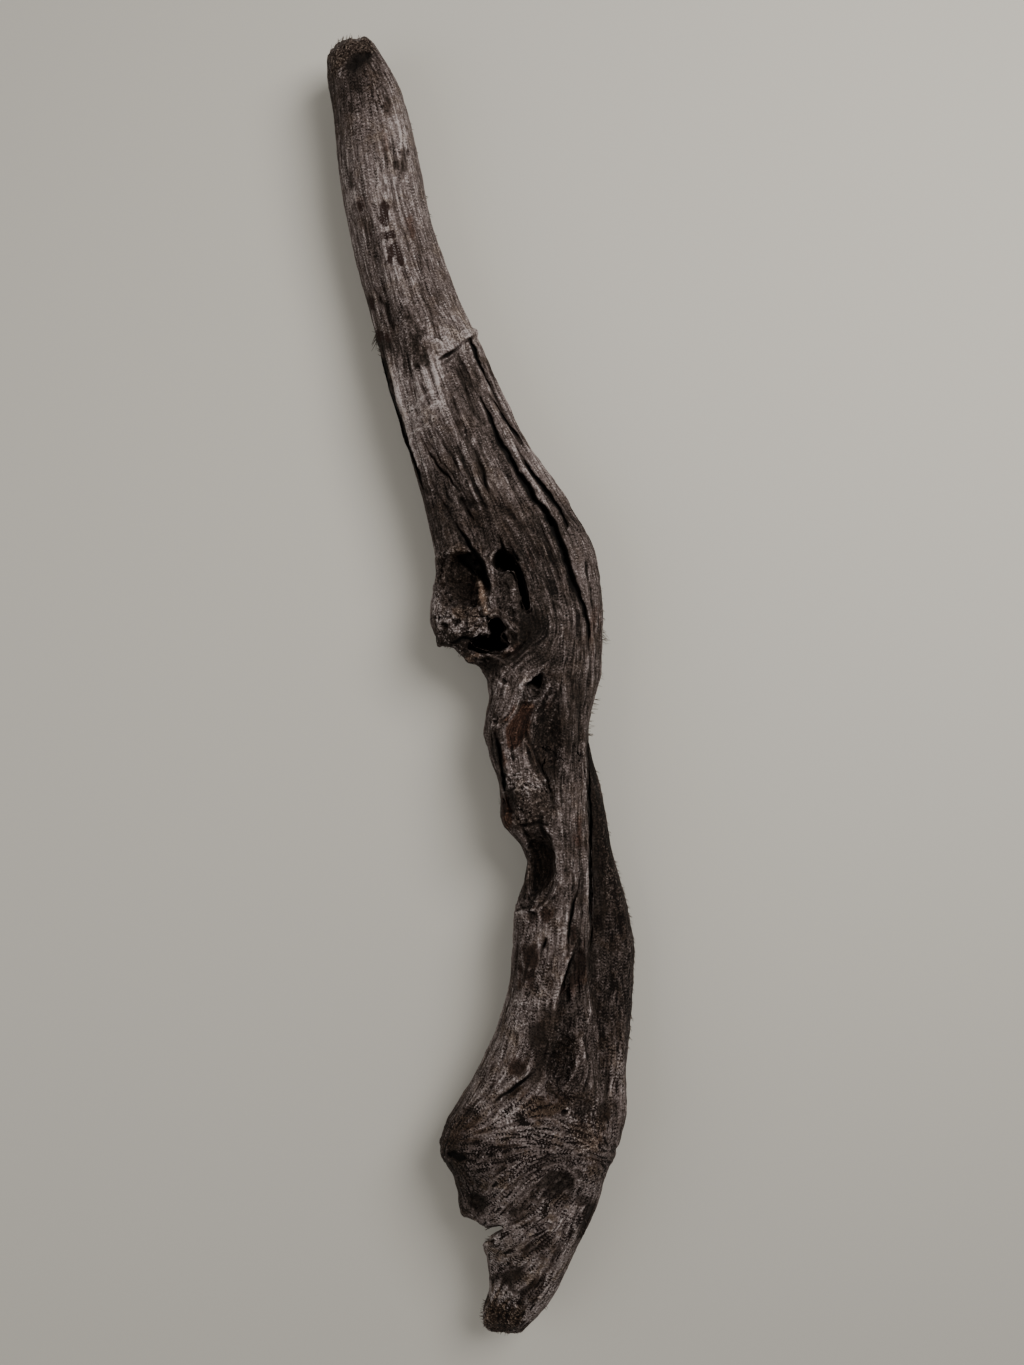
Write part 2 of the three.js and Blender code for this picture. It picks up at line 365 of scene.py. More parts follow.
# Lines on the wood: cracks, grooves and ridges.
LINES: tuple[Line, ...] = (
    Line("main_split", "480,397,2.5,3 489,415,3,5 496,432,4,6 502,446,4.5,7 507,453,5,7 513,463,5,8 "
        "521,478,5,8 532,495,5.5,8 545,512,6,8 556,532,6,8 566,555,5.5,8 572,575,4.5,8 579,595,3.5,6 "
        "586,615,3,5 589,632,2.5,5 588,650,2,2"),
    Line("outer_split", "516,449,2,2 522,458,2.5,3 528,466,3,5 532,473,3.5,6 539,482,4,7 550,496,4,7 "
        "560,510,3.5,6 567,526,2.5,4"),
    Line("outer_split_top", "484,393,2,2 495,404,2.5,4 507,424,3,5 513,432,3,5 521,445,2.5,3"),
    Line("between_splits", "504,432,2,-0.8 512,446,2.5,-1.2 519,459,2.5,-1.2 528,477,2.5,-1.2 "
        "537,491,2,-0.8", 0.0, 0.8),
    Line("left_split", "421,438,1.5,1.5 431,457,2,3.5 441,469,2.5,4.5 451,480,2.5,4 459,491,1.5,2", 0.3),
    Line("left_split_second", "428,441,1.5,0.8 438,456,2,2 449,470,2,2.5 457,483,1.5,1", 0.3),
    Line("cross_wrinkle_a", "404,413,2,-0.6 413,408,3,-2 424,399,3,-2 433,391,2,-0.6", 0.5, 0.8),
    Line("cross_wrinkle_b", "408,424,2,-0.6 417,418,3,-2 430,408,3,-2 439,400,2,-0.6", 0.5, 0.8),
    Line("cross_wrinkle_c", "412,434,2,-0.6 422,428,3,-1.6 434,418,3,-1.6 443,410,2,-0.6", 0.5, 0.6),
    Line("crumple_edge", "414,372,2,1 421,386,2.5,2.5 427,400,2.5,2.5 432,414,2,1", 0.4),
    Line("bend_line_a", "430,418,1.5,0.8 440,437,2,2.4 452,458,2,2.4 464,478,1.5,1", 0.3),
    Line("bend_line_b", "446,400,1.5,0.8 456,424,2,2.4 468,444,2,2 476,458,1.5,0.8", 0.3),
    Line("left_split_low", "461,499,4,3 469,514,4,4 474,522,2,2", 0.1),
    Line("pocket_split", "455,522,2,2 463,535,3,5 471,546,4,7 477,556,4,8 483,566,4,8 488,580,3.5,8 "
        "490,592,2.5,4"),
    Line("slot_tip", "498,536,2,1 502,543,3,4 505,550,4,7"),
    Line("slot_tip_right", "510,543,2,1 514,551,3,4 518,559,3,6"),
    Line("inner_split", "474,449,3,2 481,467,4,4 485,482,4,4 490,493,2,2", 0.1),
    Line("knuckle", "441,361,8,-1 449,353,8,-2.5 458,346,8,-3.5 467,338,8,-4 474,334,7,-4 "
        "480,332,5,-3", 0.0, 0.2),
    Line("knuckle_fold", "439,360,2,2 444,357,3,4.5 450,353,3,4.5 456,349,2.5,3 462,344.5,2.5,2.5 "
        "468,340,3,4 473,336,2,2", 0.3),
    Line("knuckle_fold_low", "441,366,2,1 448,360,2.5,2.5 455,356,2,1", 0.5),
    Line("splinter_a", "452,352,1.5,-0.6 456,364,2,-1.4 462,378,2,-1.2 466,388,1.5,-0.4", 0.4, 0.9),
    Line("splinter_b", "460,348,1.5,-0.6 465,358,2,-1.4 470,370,2,-1.2 474,380,1.5,-0.4", 0.4, 0.8),
    Line("splinter_gap", "458,352,1.5,0.8 463,364,2,2.4 470,380,2,2.4 478,396,1.5,1", 0.3),
    Line("knuckle_strip", "468,341,3,4 474,350,4,5 478,360,4,5 483,371,4,5 489,382,3,3 493,390,2,2", 0.3),
    Line("knuckle_strip_edge", "478,336,2,1 484,352,2,3 490,366,2,3 496,380,2,2", 0.2),
    Line("knuckle_groove", "454,362,3,2 459,371,3,3 464,383,4,3 469,398,4,3 474,416,2,2", 0.1),
    Line("knuckle_groove_low", "444,372,2,1 450,392,3,2.5 456,412,3,2.5 463,432,2,1", 0.1),
    # A groove along the shaft's left edge whose black is painted shade on the side that faces away from the
    # light.
    Line("shaded_rear_edge", "377,345,2.5,3 384,363,3,6 390.5,390,3.5,8 398,412,3.5,8 406,437,3.5,8 415,462,3.5,8 "
        "421,482,2.5,4 427,496,2,2", 0.3),
    # A ridge whose pale crest is a painted highlight beside the shaded left edge.
    Line("highlit_rear_rim", "387,350,2,-0.8 393.5,372,2.5,-1.4 400,400,2.5,-1.4 410,436,2.5,-1.6 "
        "419,466,2.5,-1.4", 0.0, 0.9),
    Line("shaft_groove", "372,284,2,1.5 378,293,3,2.5 385,308,3,3 392,331,2,2", 0.1),
    Line("shaft_step", "405,214,2,0.6 410,230,2,1.2 416,246,2,1 424,268,1.5,0.6", 0.3),
    Line("shaft_side_groove", "408,128,2,0.5 414,150,2,1.2 420,172,2,1.2 425,196,2,0.5", 0.1),
    Line("left_flank_groove", "414,500,2,1 422,524,3,2 430,548,3,2 436,562,2,1", 0.1),
    Line("shoulder_groove", "430,480,2,1 446,508,3,2.5 456,532,2,1.5", 0.1),
    Line("strand_line_a", "512,500,2,0.8 528,534,2,1.8 541,568,2,1.8 552,600,2,1.2 560,628,2,0.6", 0.2),
    Line("strand_line_b", "530,500,2,0.8 546,538,2,1.8 560,580,2,1.8 570,620,2,1.6 575,660,2,0.8", 0.2),
    Line("strand_gap", "588,742,2,3 589,780,3,7 590,820,3,9 590,900,3,9 591,929,3,8 589,950,3,6 "
        "590,976,3,5 594,1000,3,4 597,1040,3,4 600,1080,2,2"),
    # A ridge whose pale crest is a painted highlight along the strand's right edge.
    Line("highlit_strand_edge", "583,742,2.5,-1 585,790,2.5,-1.5 586,840,2.5,-1.5 587,900,2.5,-1.5 "
        "588,940,2.5,-1", 0.0, 0.9),
    Line("strand_groove", "582,874,2,2 577,890,2,4 572,914,2.5,5 570,930,2.5,5 568,946,2,3 "
        "568,956,1.5,2", 0.1),
    Line("strand_groove_lip", "569,912,2,-0.8 565,932,2,-1.2 563,950,2,-1.2 562,962,2,-0.8", 0.0, 0.7),
    Line("thin_groove", "583,880,2,1.5 582,905,2,2.5 580,928,1.5,1", 0.1),
    Line("strand_wrinkle", "566,780,2,0.6 570,815,2,1.4 571,850,2,1.4 568,880,2,0.8", 0.1),
    Line("stub_groove", "448,648,2,1.5 453,643,3,4 460,639,3,5 467,637,3,5 474,638,3,4", 0.2),
    Line("stub_crack", "450,609,2,1.5 456,614,2.5,3 463,619,2.5,3.5 466,625,2,2.5 462,631,2,1", 0.3),
    Line("stub_crack_right", "469,600,2,1 474,608,2.5,3 480,616,2.5,3 484,624,2,1", 0.2),
    Line("stub_fibre_a", "453,634,2,-0.6 464,632,2,-1.2 472,627,2,-1.2 478,619,2,-0.8", 0.0, 0.6),
    Line("stub_fibre_b", "459,637,2,-0.6 470,634,2,-1.2 478,628,2,-0.8", 0.0, 0.5),
    Line("stub_crack_top", "463,620,2,2 468,617,2.5,3 474,615,2,1.5", 0.2),
    Line("stub_rim", "434,598,3,-0.8 434,612,3,-1.5 437,622,3,-1.5 441,630,3,-1", 0.0, 1.0),
    Line("pocket_rim", "438,552,3,-0.8 435,570,3,-1.5 434,590,3,-1.5", 0.0, 0.8),
    Line("pocket_ridge", "476,545,3,-0.8 481,556,3,-1.6 488,568,3,-2 492,582,3.5,-2.4 492,598,3.5,-2.4 "
        "491,610,3,-1.6", 0.0, 0.45),
    Line("lump_curve_a", "500,574,2,0.8 507,585,2,1.5 509,597,2,1.5 505,608,2,0.8", 0.3),
    Line("lump_curve_b", "496,582,2,0.8 502,591,2,1.2 502,601,2,1.2 499,609,2,0.8", 0.3),
    Line("lump_edge", "502,618,3,-1 508,621,3,-2 514,625,3,-2 519,630,3,-1", 0.0, 0.9),
    Line("crotch_lip", "501,654,3,-2 508,652,4,-3 514,648,4,-3 518,643,3,-3 520,638,3,-2", 0.0, 0.8),
    Line("eye_rim_low", "522,697,1.8,-0.8 529,701,2.2,-1.4 538,701,2.2,-1.6 545,696,2.2,-1.4 "
        "549,686,1.8,-0.8", 0.0, 0.9),
    Line("crotch_groove", "494,658,2,1.5 503,658,3,3 513,654,3,3 522,645,3,3 530,634,3,2"),
    Line("crotch_groove_low", "502,664,2,1 512,660,3,2.5 522,652,3,2.5 534,642,2,1.5", 0.1),
    Line("knot_line", "561,636,2,-0.6 556,647,2,-1.3 551,657,2,-1.4 545,664,2,-1.6 535,668,2,-1.6 "
        "526,675,2,-1.6 519,686,2,-1.6 519,698,2,-1.6 516,708,2,-1.6 508,718,2,-1.6 500,724,2,-1.4 "
        "490,726,2,-1", 0.0, 1.0),
    Line("knot_rim", "547,661,2,-0.8 537,670,2,-2 528,677,2,-2.2 522,683,2,-2.2 520,690,2,-2 "
        "521,698,2,-1.6", 0.0, 1.0),
    Line("knot_rim_low", "520,700,2,-1.2 530,701,2,-2 541,698,2,-2.2 546,693,2,-2 "
        "547,686,2,-1.2", 0.0, 1.0),
    Line("knot_rim_inner", "545,664,2,-0.6 534,673,2,-1.2 526,679,2,-1.2", 0.0, 0.9),
    Line("knot_fan_a", "545,698,2,-0.8 536,703,2,-1.2 529,708,2,-0.8", 0.0, 0.7),
    Line("knot_fan_b", "548,700,2,-0.8 540,706,2,-1.2 533,712,2,-0.8", 0.0, 0.6),
    Line("knot_hem", "524,708,2,-0.6 534,708,2,-1 545,703,2,-1 553,694,2,-1 556,682,2,-0.5", 0.0, 1.0),
    Line("flow_a", "512,664,2,-0.6 503,674,2,-1.2 497,688,2,-1.2 492,700,2,-0.6", 0.0, 1.0),
    Line("flow_b", "522,662,2,-0.6 512,672,2,-1.2 506,684,2,-1.2 505,698,2,-0.6", 0.0, 1.0),
    Line("flow_groove", "524,655,2,1 514,668,2.5,2 510,682,2.5,2 512,696,2,1", 0.1),
    Line("flow_groove_left", "505,660,2,1 496,674,2.5,2 490,688,2,1", 0.1),
    Line("flow_groove_right", "552,650,2,1 541,660,2.5,2 528,668,2,1", 0.1),
    Line("mid_hollow_edge", "490,712,2,1 495,715,2.5,2 502,713,2,1.5", 0.2),
    Line("lobe_groove", "495,733,3,3 498,746,4,6 501,762,4,7 504,778,4,7 505,790,3,4", 0.2),
    Line("lobe_slit", "491,736,2,1.5 492,750,2,2 495,764,2,1", 0.1),
    Line("thin_ridge", "527,741,2,-1 530,750,2,-2 534,760,2,-2.2 538,770,2,-2 544,782,2,-1.2", 0.0, 0.8),
    Line("ridge_shadow", "531,744,2,1.5 535,754,3,2.5 540,766,3,2.5 546,779,3,2.5 551,794,3,2 "
        "552,812,2,1"),
    Line("burl_brow", "507,779,2,-0.8 513,774,2,-1.4 528,773,2,-1.4 538,774,2,-1.4 "
        "545,782,2,-1", 0.0, 0.5),
    Line("burl_wave_a", "516,793,2,0.8 526,797,2,1.5 538,795,2,1.5 546,789,2,0.8", 0.3),
    Line("burl_wave_b", "516,802,2,0.8 527,807,2,1.5 539,805,2,1.5 547,799,2,0.8", 0.3),
    Line("burl_wave_c", "517,812,2,0.8 528,817,2,1.5 540,815,2,1.5 548,809,2,0.8", 0.3),
    Line("burl_base", "514,827,3,2 524,825,4,4 536,823,4,4 547,826,3,3", 0.3),
    Line("recess_rim", "520,834,2,-0.6 524,842,2,-1 530,856,2,-1 529,872,2,-1 524,888,2,-0.6", 0.4, 0.5),
    Line("recess_right_rim", "551,834,2,-0.8 557,848,2.5,-1.6 559,864,2.5,-1.6 556,878,2.5,-1.6 "
        "548,890,2.5,-1.4 538,898,2,-0.8", 0.0, 0.9),
    Line("recess_line_a", "537,838,2,1 541,856,2,1.5 540,876,2,1", 0.4),
    Line("recess_line_b", "546,842,2,1 549,858,2,1.5 546,876,2,1", 0.4),
    Line("channel_crest", "516,912,2.5,-1.2 530,911,2.5,-2.2 541,908,2.5,-2.2 548,902,2.5,-2.2 "
        "554,895,2.5,-2 558,889,2,-0.8", 0.0, 0.95),
    Line("channel_crest_high", "531,902,2,-0.8 538,901,2,-1.6 544,895,2,-1.2", 0.0, 0.7),
    Line("channel_groove", "520,908,2,1 532,907,2.5,2 542,903,2.5,2.5 550,896,2,1.5"),
    Line("lower_groove_a", "519,925,2,1 517,950,3,2.5 514,975,2,1", 0.1),
    Line("lower_slot", "547,938,2.5,3 545,945,3,4.5 542,952,2.5,3 540,962,2,1", 0.2),
    Line("lower_groove_c", "556,930,2,1 552,956,3,2 549,980,2,1", 0.1),
    Line("wrinkle_top", "524,968,3,-0.8 533,970,3,-1.2 543,968,3,-0.8", 0.0, 0.7),
    Line("wrinkle_a", "512,999,2,-0.6 518,1003,3,-1.4 525,1002,3,-1 532,1006,3,-1.4 "
        "539,1003,2,-0.6", 0.3, 0.4),
    Line("wrinkle_b", "511,1011,2,-0.6 517,1016,3,-1.6 526,1013,3,-1.2 534,1017,3,-1.4 "
        "541,1013,2,-0.6", 0.3, 0.5),
    Line("wrinkle_c", "508,1024,3,-0.8 518,1028,4,-1.2 527,1024,3,-0.8", 0.0, 0.5),
    Line("arch_edge", "578,941,1.5,-0.6 571,950,2,-1.4 564,968,2,-1.6 558,989,2,-1.6 "
        "553,1008,2,-1", 0.0, 0.8),
    Line("arch_edge_groove", "580,944,2,2 575,951,2.5,4 569,963,3,5 564,980,3,4.5 560,996,2.5,3 "
        "556,1012,2,1.5", 0.1),
    Line("arch_strand", "584,952,2,-1 584,972,2.5,-2 588,994,2.5,-2.2 589,1014,3,-2.6 583,1027,3,-2.4 "
        "580,1042,3,-2.4 584,1054,2.5,-2 585,1068,2,-1.2", 0.0, 1.0),
    Line("arch_strand_low", "576,1049,2,-1 578,1063,2.5,-1.8 571,1079,3,-2 564,1089,2.5,-1.6 "
        "554,1090,2,-1", 0.0, 1.0),
    Line("arch_fibre", "573,966,2,-1 571,990,2,-1.8 572,1012,2,-1.2", 0.0, 0.5),
    Line("arch_fibre_b", "566,990,2,-1 562,1015,2,-1.5 560,1036,2,-1", 0.0, 0.5),
    Line("arch_groove", "577,962,2,1 579,985,2.5,3 579,1008,2,2"),
    Line("arch_groove_b", "592,1010,2,1 592,1030,2.5,2.5 590,1048,2.5,2.5 594,1066,2,1.5"),
    Line("arch_foot", "542,1070,2.5,-1 546,1080,3,-2 555,1087,3,-2", 0.0, 0.7),
    Line("root_split", "534,1070,2,1.5 529,1077,2.5,4 518,1085,3,6 511,1091,3,5 499,1098,2.5,4 "
        "490,1104,2,1.5", 0.2),
    Line("root_split_low", "524,1086,2,1.5 514,1094,2.5,3 502,1102,2,2 492,1110,2,1"),
    Line("root_lip", "529,1072,2,-0.8 519,1080,2.5,-1.6 509,1087,2.5,-1.8 498,1093,2,-1", 0.0, 0.85),
    Line("root_boundary", "547,1044,2,1.5 545,1054,2.5,3 541,1064,2.5,3 539,1074,2,1.5"),
    Line("oval_rim", "526,1063,2.5,-1 529,1070,3,-2 526,1077,2.5,-1.2", 0.0, 1.0),
    Line("root_line_a", "500,1076,2,1 488,1092,2.5,1.6 474,1106,2,1", 0.2),
    Line("root_line_b", "496,1062,2,1 486,1078,2.5,1.6 476,1092,2,1", 0.2),
    Line("root_line_c", "512,1100,2,0.8 498,1110,2.5,1.4 484,1124,2,0.8", 0.2),
    Line("right_root_groove", "606,1050,2,1 608,1075,3,2.5 605,1098,3,2.5 602,1112,2,1", 0.2),
    Line("root_shelf", "568,1121,3,-0.8 578,1118,3,-1.6 590,1120,3,-1.6 599,1127,3,-1", 0.0, 0.5),
    Line("flank_groove", "462,1168,3,0.8 470,1181,4,1.4 478,1192,3,0.8"),
    Line("flank_line_a", "470,1163,2,0.6 480,1153,2.5,1.6 491,1142,2,0.8", 0.2),
    Line("flank_line_b", "474,1158,2,0.6 485,1149,2.5,1.6 496,1141,2,0.8", 0.2),
    Line("flank_line_c", "476,1171,2,0.6 486,1160,2.5,1.6 498,1150,2,0.8", 0.2),
    Line("swirl_outer", "507,1192,2,1.2 522,1175,2,2.2 541,1161,2,2.2 560,1157,2,2.2 574,1163,2,1.2", 0.1),
    Line("swirl_second", "512,1197,2,1.2 526,1179,2,2.2 543,1166,2,2.2 560,1162,2,2.2 "
        "573,1168,2,1.2", 0.1),
    Line("swirl_third", "518,1200,2,1.2 530,1184,2,2.2 544,1171,2,2.2 558,1167,2,1", 0.1),
    Line("swirl_inner", "526,1200,2,1.2 535,1188,2,2.2 545,1176,2,2.2", 0.1),
    Line("eye_streak_a", "536,1190,2,1 543,1181,3,3 552,1171,2.5,2", 0.2),
    Line("eye_streak_b", "543,1192,2,1 551,1182,3.5,3.5 561,1172,2.5,2", 0.3),
    Line("eye_streak_c", "550,1194,2,1 559,1184,3.5,3.5 568,1175,2.5,2", 0.3),
    Line("eye_streak_d", "557,1196,2,1 565,1188,3,3 572,1181,2.5,2", 0.3),
    Line("hook", "571,1221,2,1 567,1224,3,2 563,1231,3,2 561,1238,2,1", 0.4),
    Line("slash_a", "561,1240,3,1.5 557,1250,4,2.5 552,1262,3,1.5", 0.3),
    Line("slash_b", "532,1243,3,1.5 527,1248,3,2.5 521,1255,2,1", 0.3),
    Line("slash_c", "548,1248,3,1.5 539,1250,4,2.2 529,1254,3,1", 0.2),
    Line("slash_d", "564,1274,2,1 560,1279,3,2 556,1284,2,1", 0.2),
    Line("slash_e", "530,1264,3,1 518,1271,5,2 502,1282,4,1.5", 0.2),
    Line("slash_f", "541,1280,3,1 529,1288,4,2 515,1299,3,1", 0.2),
    Line("spike_edge", "594,1206,4,2 589,1218,5,3 582,1233,5,3 574,1248,3,1.5", 0.1),
    Line("spike_line_a", "578,1214,2,0.8 566,1238,2.5,1.6 552,1262,2,0.8", 0.3),
    Line("spike_line_b", "556,1256,2,0.8 543,1276,2.5,1.8 531,1294,2,0.8", 0.3),
    Line("spike_line_c", "536,1222,2,0.8 520,1240,2.5,1.6 504,1256,2,0.8", 0.3),
    Line("back_main_split", "590,520,3,3 575,600,4,7 562,680,5,8 556,760,4,7 "
        "552,840,3,3", 0.4, 0.5, Side.BACK),
    Line("back_shaft_split", "352,120,2,2 372,210,3,5 396,300,4,6 424,380,3,5 "
        "446,430,2,2", 0.3, 0.5, Side.BACK),
    Line("back_root_split", "600,930,3,3 592,1000,4,6 572,1080,4,6 548,1150,3,4 "
        "530,1210,2,2", 0.4, 0.5, Side.BACK),
    Line("back_side_split", "470,520,2,2 486,580,3,5 500,640,3,4 508,690,2,2", 0.3, 0.5, Side.BACK),
)

# Rotten hollows, recesses and lumps.
HOLLOWS: tuple[Hollow, ...] = (
    Hollow("top_hollow", "345,68 350,55 360,51 371,51 374,55 366,62 360,68 354,74", 4, 3, 0.8, rough=0.6),
    Hollow("limb_hollow", "440,556 450,551 462,551 472,552 480,558 486,567 490,580 490,595 487,606 479,610 "
        "468,606 457,606 447,609 440,603 438,588 438,571", 11, 4, 0.42, rough=0.6),
    Hollow("limb_hollow_deep", "456,553 472,551 480,558 486,568 489,582 489,592 484,590 478,578 468,570 "
        "458,564", 11, 4, 0.85),
    Hollow("limb_hollow_low", "442,586 450,580 462,582 470,592 466,602 452,603 443,600", 3, 4, 0.5),
    Hollow("tan_slab", "474,582 480,578 486,587 490,600 490,616 484,619 479,608 474,596", -7, 4),
    Hollow("lump_bed", "495,558 505,551 518,562 527,588 525,612 508,620 497,614 494,590", 4, 6, 0.05),
    Hollow("side_slot", "493,566 491,556 497,547 504,547 512,553 519,562 524,573 527,585 528,597 525,609 "
        "521,612 519,600 517,590 514,580 509,574 503,571 497,571", 14, 4, 0.85, rough=0.5),
    Hollow("cavern", "487,620 494,616 502,618 506,625 505,633 509,640 508,647 500,652 486,654 476,652 "
        "466,648 469,642 476,637 484,636 491,634 488,627", 28, 3, 1),
    Hollow("crotch_shade", "519,606 526,600 532,607 541,619 548,631 536,636 524,646 516,641 "
        "517,625", 4, 11, 0.38, rough=0.15),
    Hollow("crotch_hollow", "478,659 488,655 500,658 500,666 490,672 481,668", 4, 4, 0.6),
    Hollow("knot_face", "523,688 530,686 541,687 546,690 542,697 533,700 525,698", -13, 3, 0.0, rough=0.0),
    Hollow("knot_hole", "524,686 527,680 533,675 540,672 543,676 541,681 541,686 533,685", 14, 2, 1),
    Hollow("rust_bed", "516,712 527,704 545,701 538,712 532,724 527,740 517,750 507,745 "
        "506,730", 3, 5, 0.0, rough=0.3),
    Hollow("dark_bed", "535,712 549,706 560,709 556,722 564,736 562,760 552,768 540,762 532,746 "
        "533,727", 3, 9),
    Hollow("cleft", "506,788 512,785 517,798 515,816 509,813 505,800", 7, 3, 0.7),
    Hollow("burl_recess", "518,833 526,829 541,828 550,835 557,845 559,858 557,872 551,883 544,893 534,901 "
        "521,903 523,890 528,876 530,860 525,846", 9, 9, 0.26, rough=0.2),
    Hollow("arch", "577,946 583,950 585,962 584,985 582,1003 578,1020 576,1036 575,1050 572,1066 566,1077 "
        "558,1082 548,1078 545,1066 549,1048 554,1030 560,1012 564,994 567,976 "
        "571,958", 3, 9, 0.05, rough=0.6),
    Hollow("arch_top", "580,944 587,958 585,976 577,985 567,990 569,966 573,953", 4, 5, 0.5, rough=0.4),
    Hollow("dark_blob", "528,1027 534,1023 545,1026 547,1040 540,1049 529,1048 "
        "526,1038", 3, 5, 0.5, rough=0.5),
    Hollow("dark_band", "540,1010 552,1006 560,1012 556,1020 543,1019", 2, 3, 0.45),
    Hollow("left_oval", "510,1064 517,1060 524,1064 525,1072 518,1078 510,1074", 3.5, 4, 0.35, rough=0.2),
    Hollow("root_gap", "572,1099 582,1096 592,1102 592,1113 582,1117 573,1112", 2.5, 4, 0.4, rough=0.6),
    Hollow("root_gap_left", "556,1096 566,1092 572,1099 568,1106 559,1104", 3, 4, 0.4),
    Hollow("right_pit", "597,1106 605,1102 611,1108 609,1119 601,1122 597,1114", 4, 4, 0.6),
    Hollow("flank_pit", "445,1151 455,1151 464,1155 468,1160 459,1161 450,1157", 5, 1.5, 1, rough=0.3),
    Hollow("notch_pit", "468,1194 476,1192 485,1197 488,1207 484,1214 476,1213 470,1205", 7, 4, 0.6),
    Hollow("swirl_eye", "537,1184 546,1173 558,1168 570,1173 575,1184 570,1193 556,1196 "
        "544,1193", 3.2, 9, 0.45, rough=0.2),
    Hollow("swirl_eye_low", "574,1198 583,1194 593,1199 590,1207 579,1208", 3, 3, 0.55),
    Hollow("knuckle_pit", "406,338 416,334 425,348 429,362 420,371 410,362", 2, 6, 0.25, rough=0.5),
    Hollow("side_lump", "496,574 504,571 511,576 516,588 516,602 509,613 498,612 494,594", -5, 6),
    Hollow("stub_face", "452,609 462,608 466,614 462,619 454,615", -2.5, 4),
    Hollow("stub_end", "440,617 452,613 468,616 484,618 482,632 466,636 450,640 441,632", -3, 7),
    Hollow("cavern_floor", "458,648 470,650 482,654 482,661 470,664 460,658", -3, 5),
    Hollow("burl_cap", "509,778 524,773 540,775 547,786 545,794 530,796 514,792", -5, 8),
    Hollow("burl_body", "515,792 532,792 546,792 550,806 547,822 530,826 517,823", -3.5, 8),
    Hollow("burl_corner", "501,798 507,797 511,810 513,824 506,829 501,816", -3, 5),
    Hollow("nub", "511,752 515,750 518,754 516,759 512,758", -2, 2.5),
    Hollow("shaft_flat", "352,100 372,96 388,150 398,210 404,262 390,268 372,210 "
        "358,150", 2.2, 12, rough=0.0),
    Hollow("knuckle_swell", "436,330 452,316 470,322 478,334 462,346 444,352", -3, 10),
    Hollow("root_brow", "486,1118 520,1104 556,1110 560,1130 520,1142 486,1140", -4, 14),
)

# Small round pits, knots and rings.
PITS: tuple[Pit, ...] = (
    Pit("ring_knot", (456, 622.5), (5.5, 5.0), 3.0, 0, 1.2, 0.55),
    Pit("ring_knot_eye", (456, 622.5), (2.2, 2.0), 1.5, 0, 0.5, 0.8),
    Pit("stub_hole", (445, 625.5), (4.2, 3.4), 4.0, 0, 1.5, 0.9),
    Pit("crotch_knot", (512.5, 636.5), (5.0, 4.6), 2.0, 0, 1.8, 0.3),
    Pit("crotch_knot_eye", (512.5, 637.0), (2.0, 2.0), 1.6, 0, 0.4, 0.9),
    Pit("shaft_pin_hole", (382, 106), (1.8, 1.8), 2.0, 0, 0.2, 0.8),
    Pit("knuckle_hole", (417, 366), (4.5, 3.0), 3.0, 30, 0.4, 0.6),
    Pit("channel_eye", (531.5, 916), (5.0, 4.0), 3.5, -25, 0.8, 0.7),
    Pit("root_pin_hole", (565, 1114), (3.5, 3.5), 4.0, 0, 0.6, 0.9),
    Pit("left_flank_oval", (468, 1112), (6.5, 4.5), 1.6, -40, 0.2, 0.55),
    Pit("notch_eye", (491, 1241), (3.5, 3.0), 3.0, 0, 0.6, 0.8),
    Pit("mid_pit", (494, 717), (4.0, 2.5), 1.6, 20, 0.4, 0.5),
    Pit("slot_a", (402, 166), (1.5, 6.0), 1.6, -8, 0.1, 0.5),
    Pit("slot_b", (408, 153), (1.5, 4.0), 1.4, -8, 0.1, 0.5),
    Pit("slot_c", (545, 943), (2.0, 7.0), 2.0, 12, 0.2, 0.6),
    Pit("slot_d", (536, 988), (3.0, 6.0), 1.6, 12, 0.2, 0.5),
    Pit("slot_e", (407, 316), (2.5, 2.5), 1.8, 0, 0.2, 0.5),
    Pit("slot_f", (457, 411), (3.0, 6.0), 1.6, -25, 0.2, 0.5),
    Pit("slot_g", (549, 1226), (4.0, 3.0), 1.2, 30, 0.8, 0.3),
    Pit("slot_h", (534, 1199), (5.0, 3.0), 1.5, 30, 0.3, 0.5),
    Pit("slot_i", (513, 1213), (4.0, 5.0), 1.6, 20, 0.4, 0.5),
)
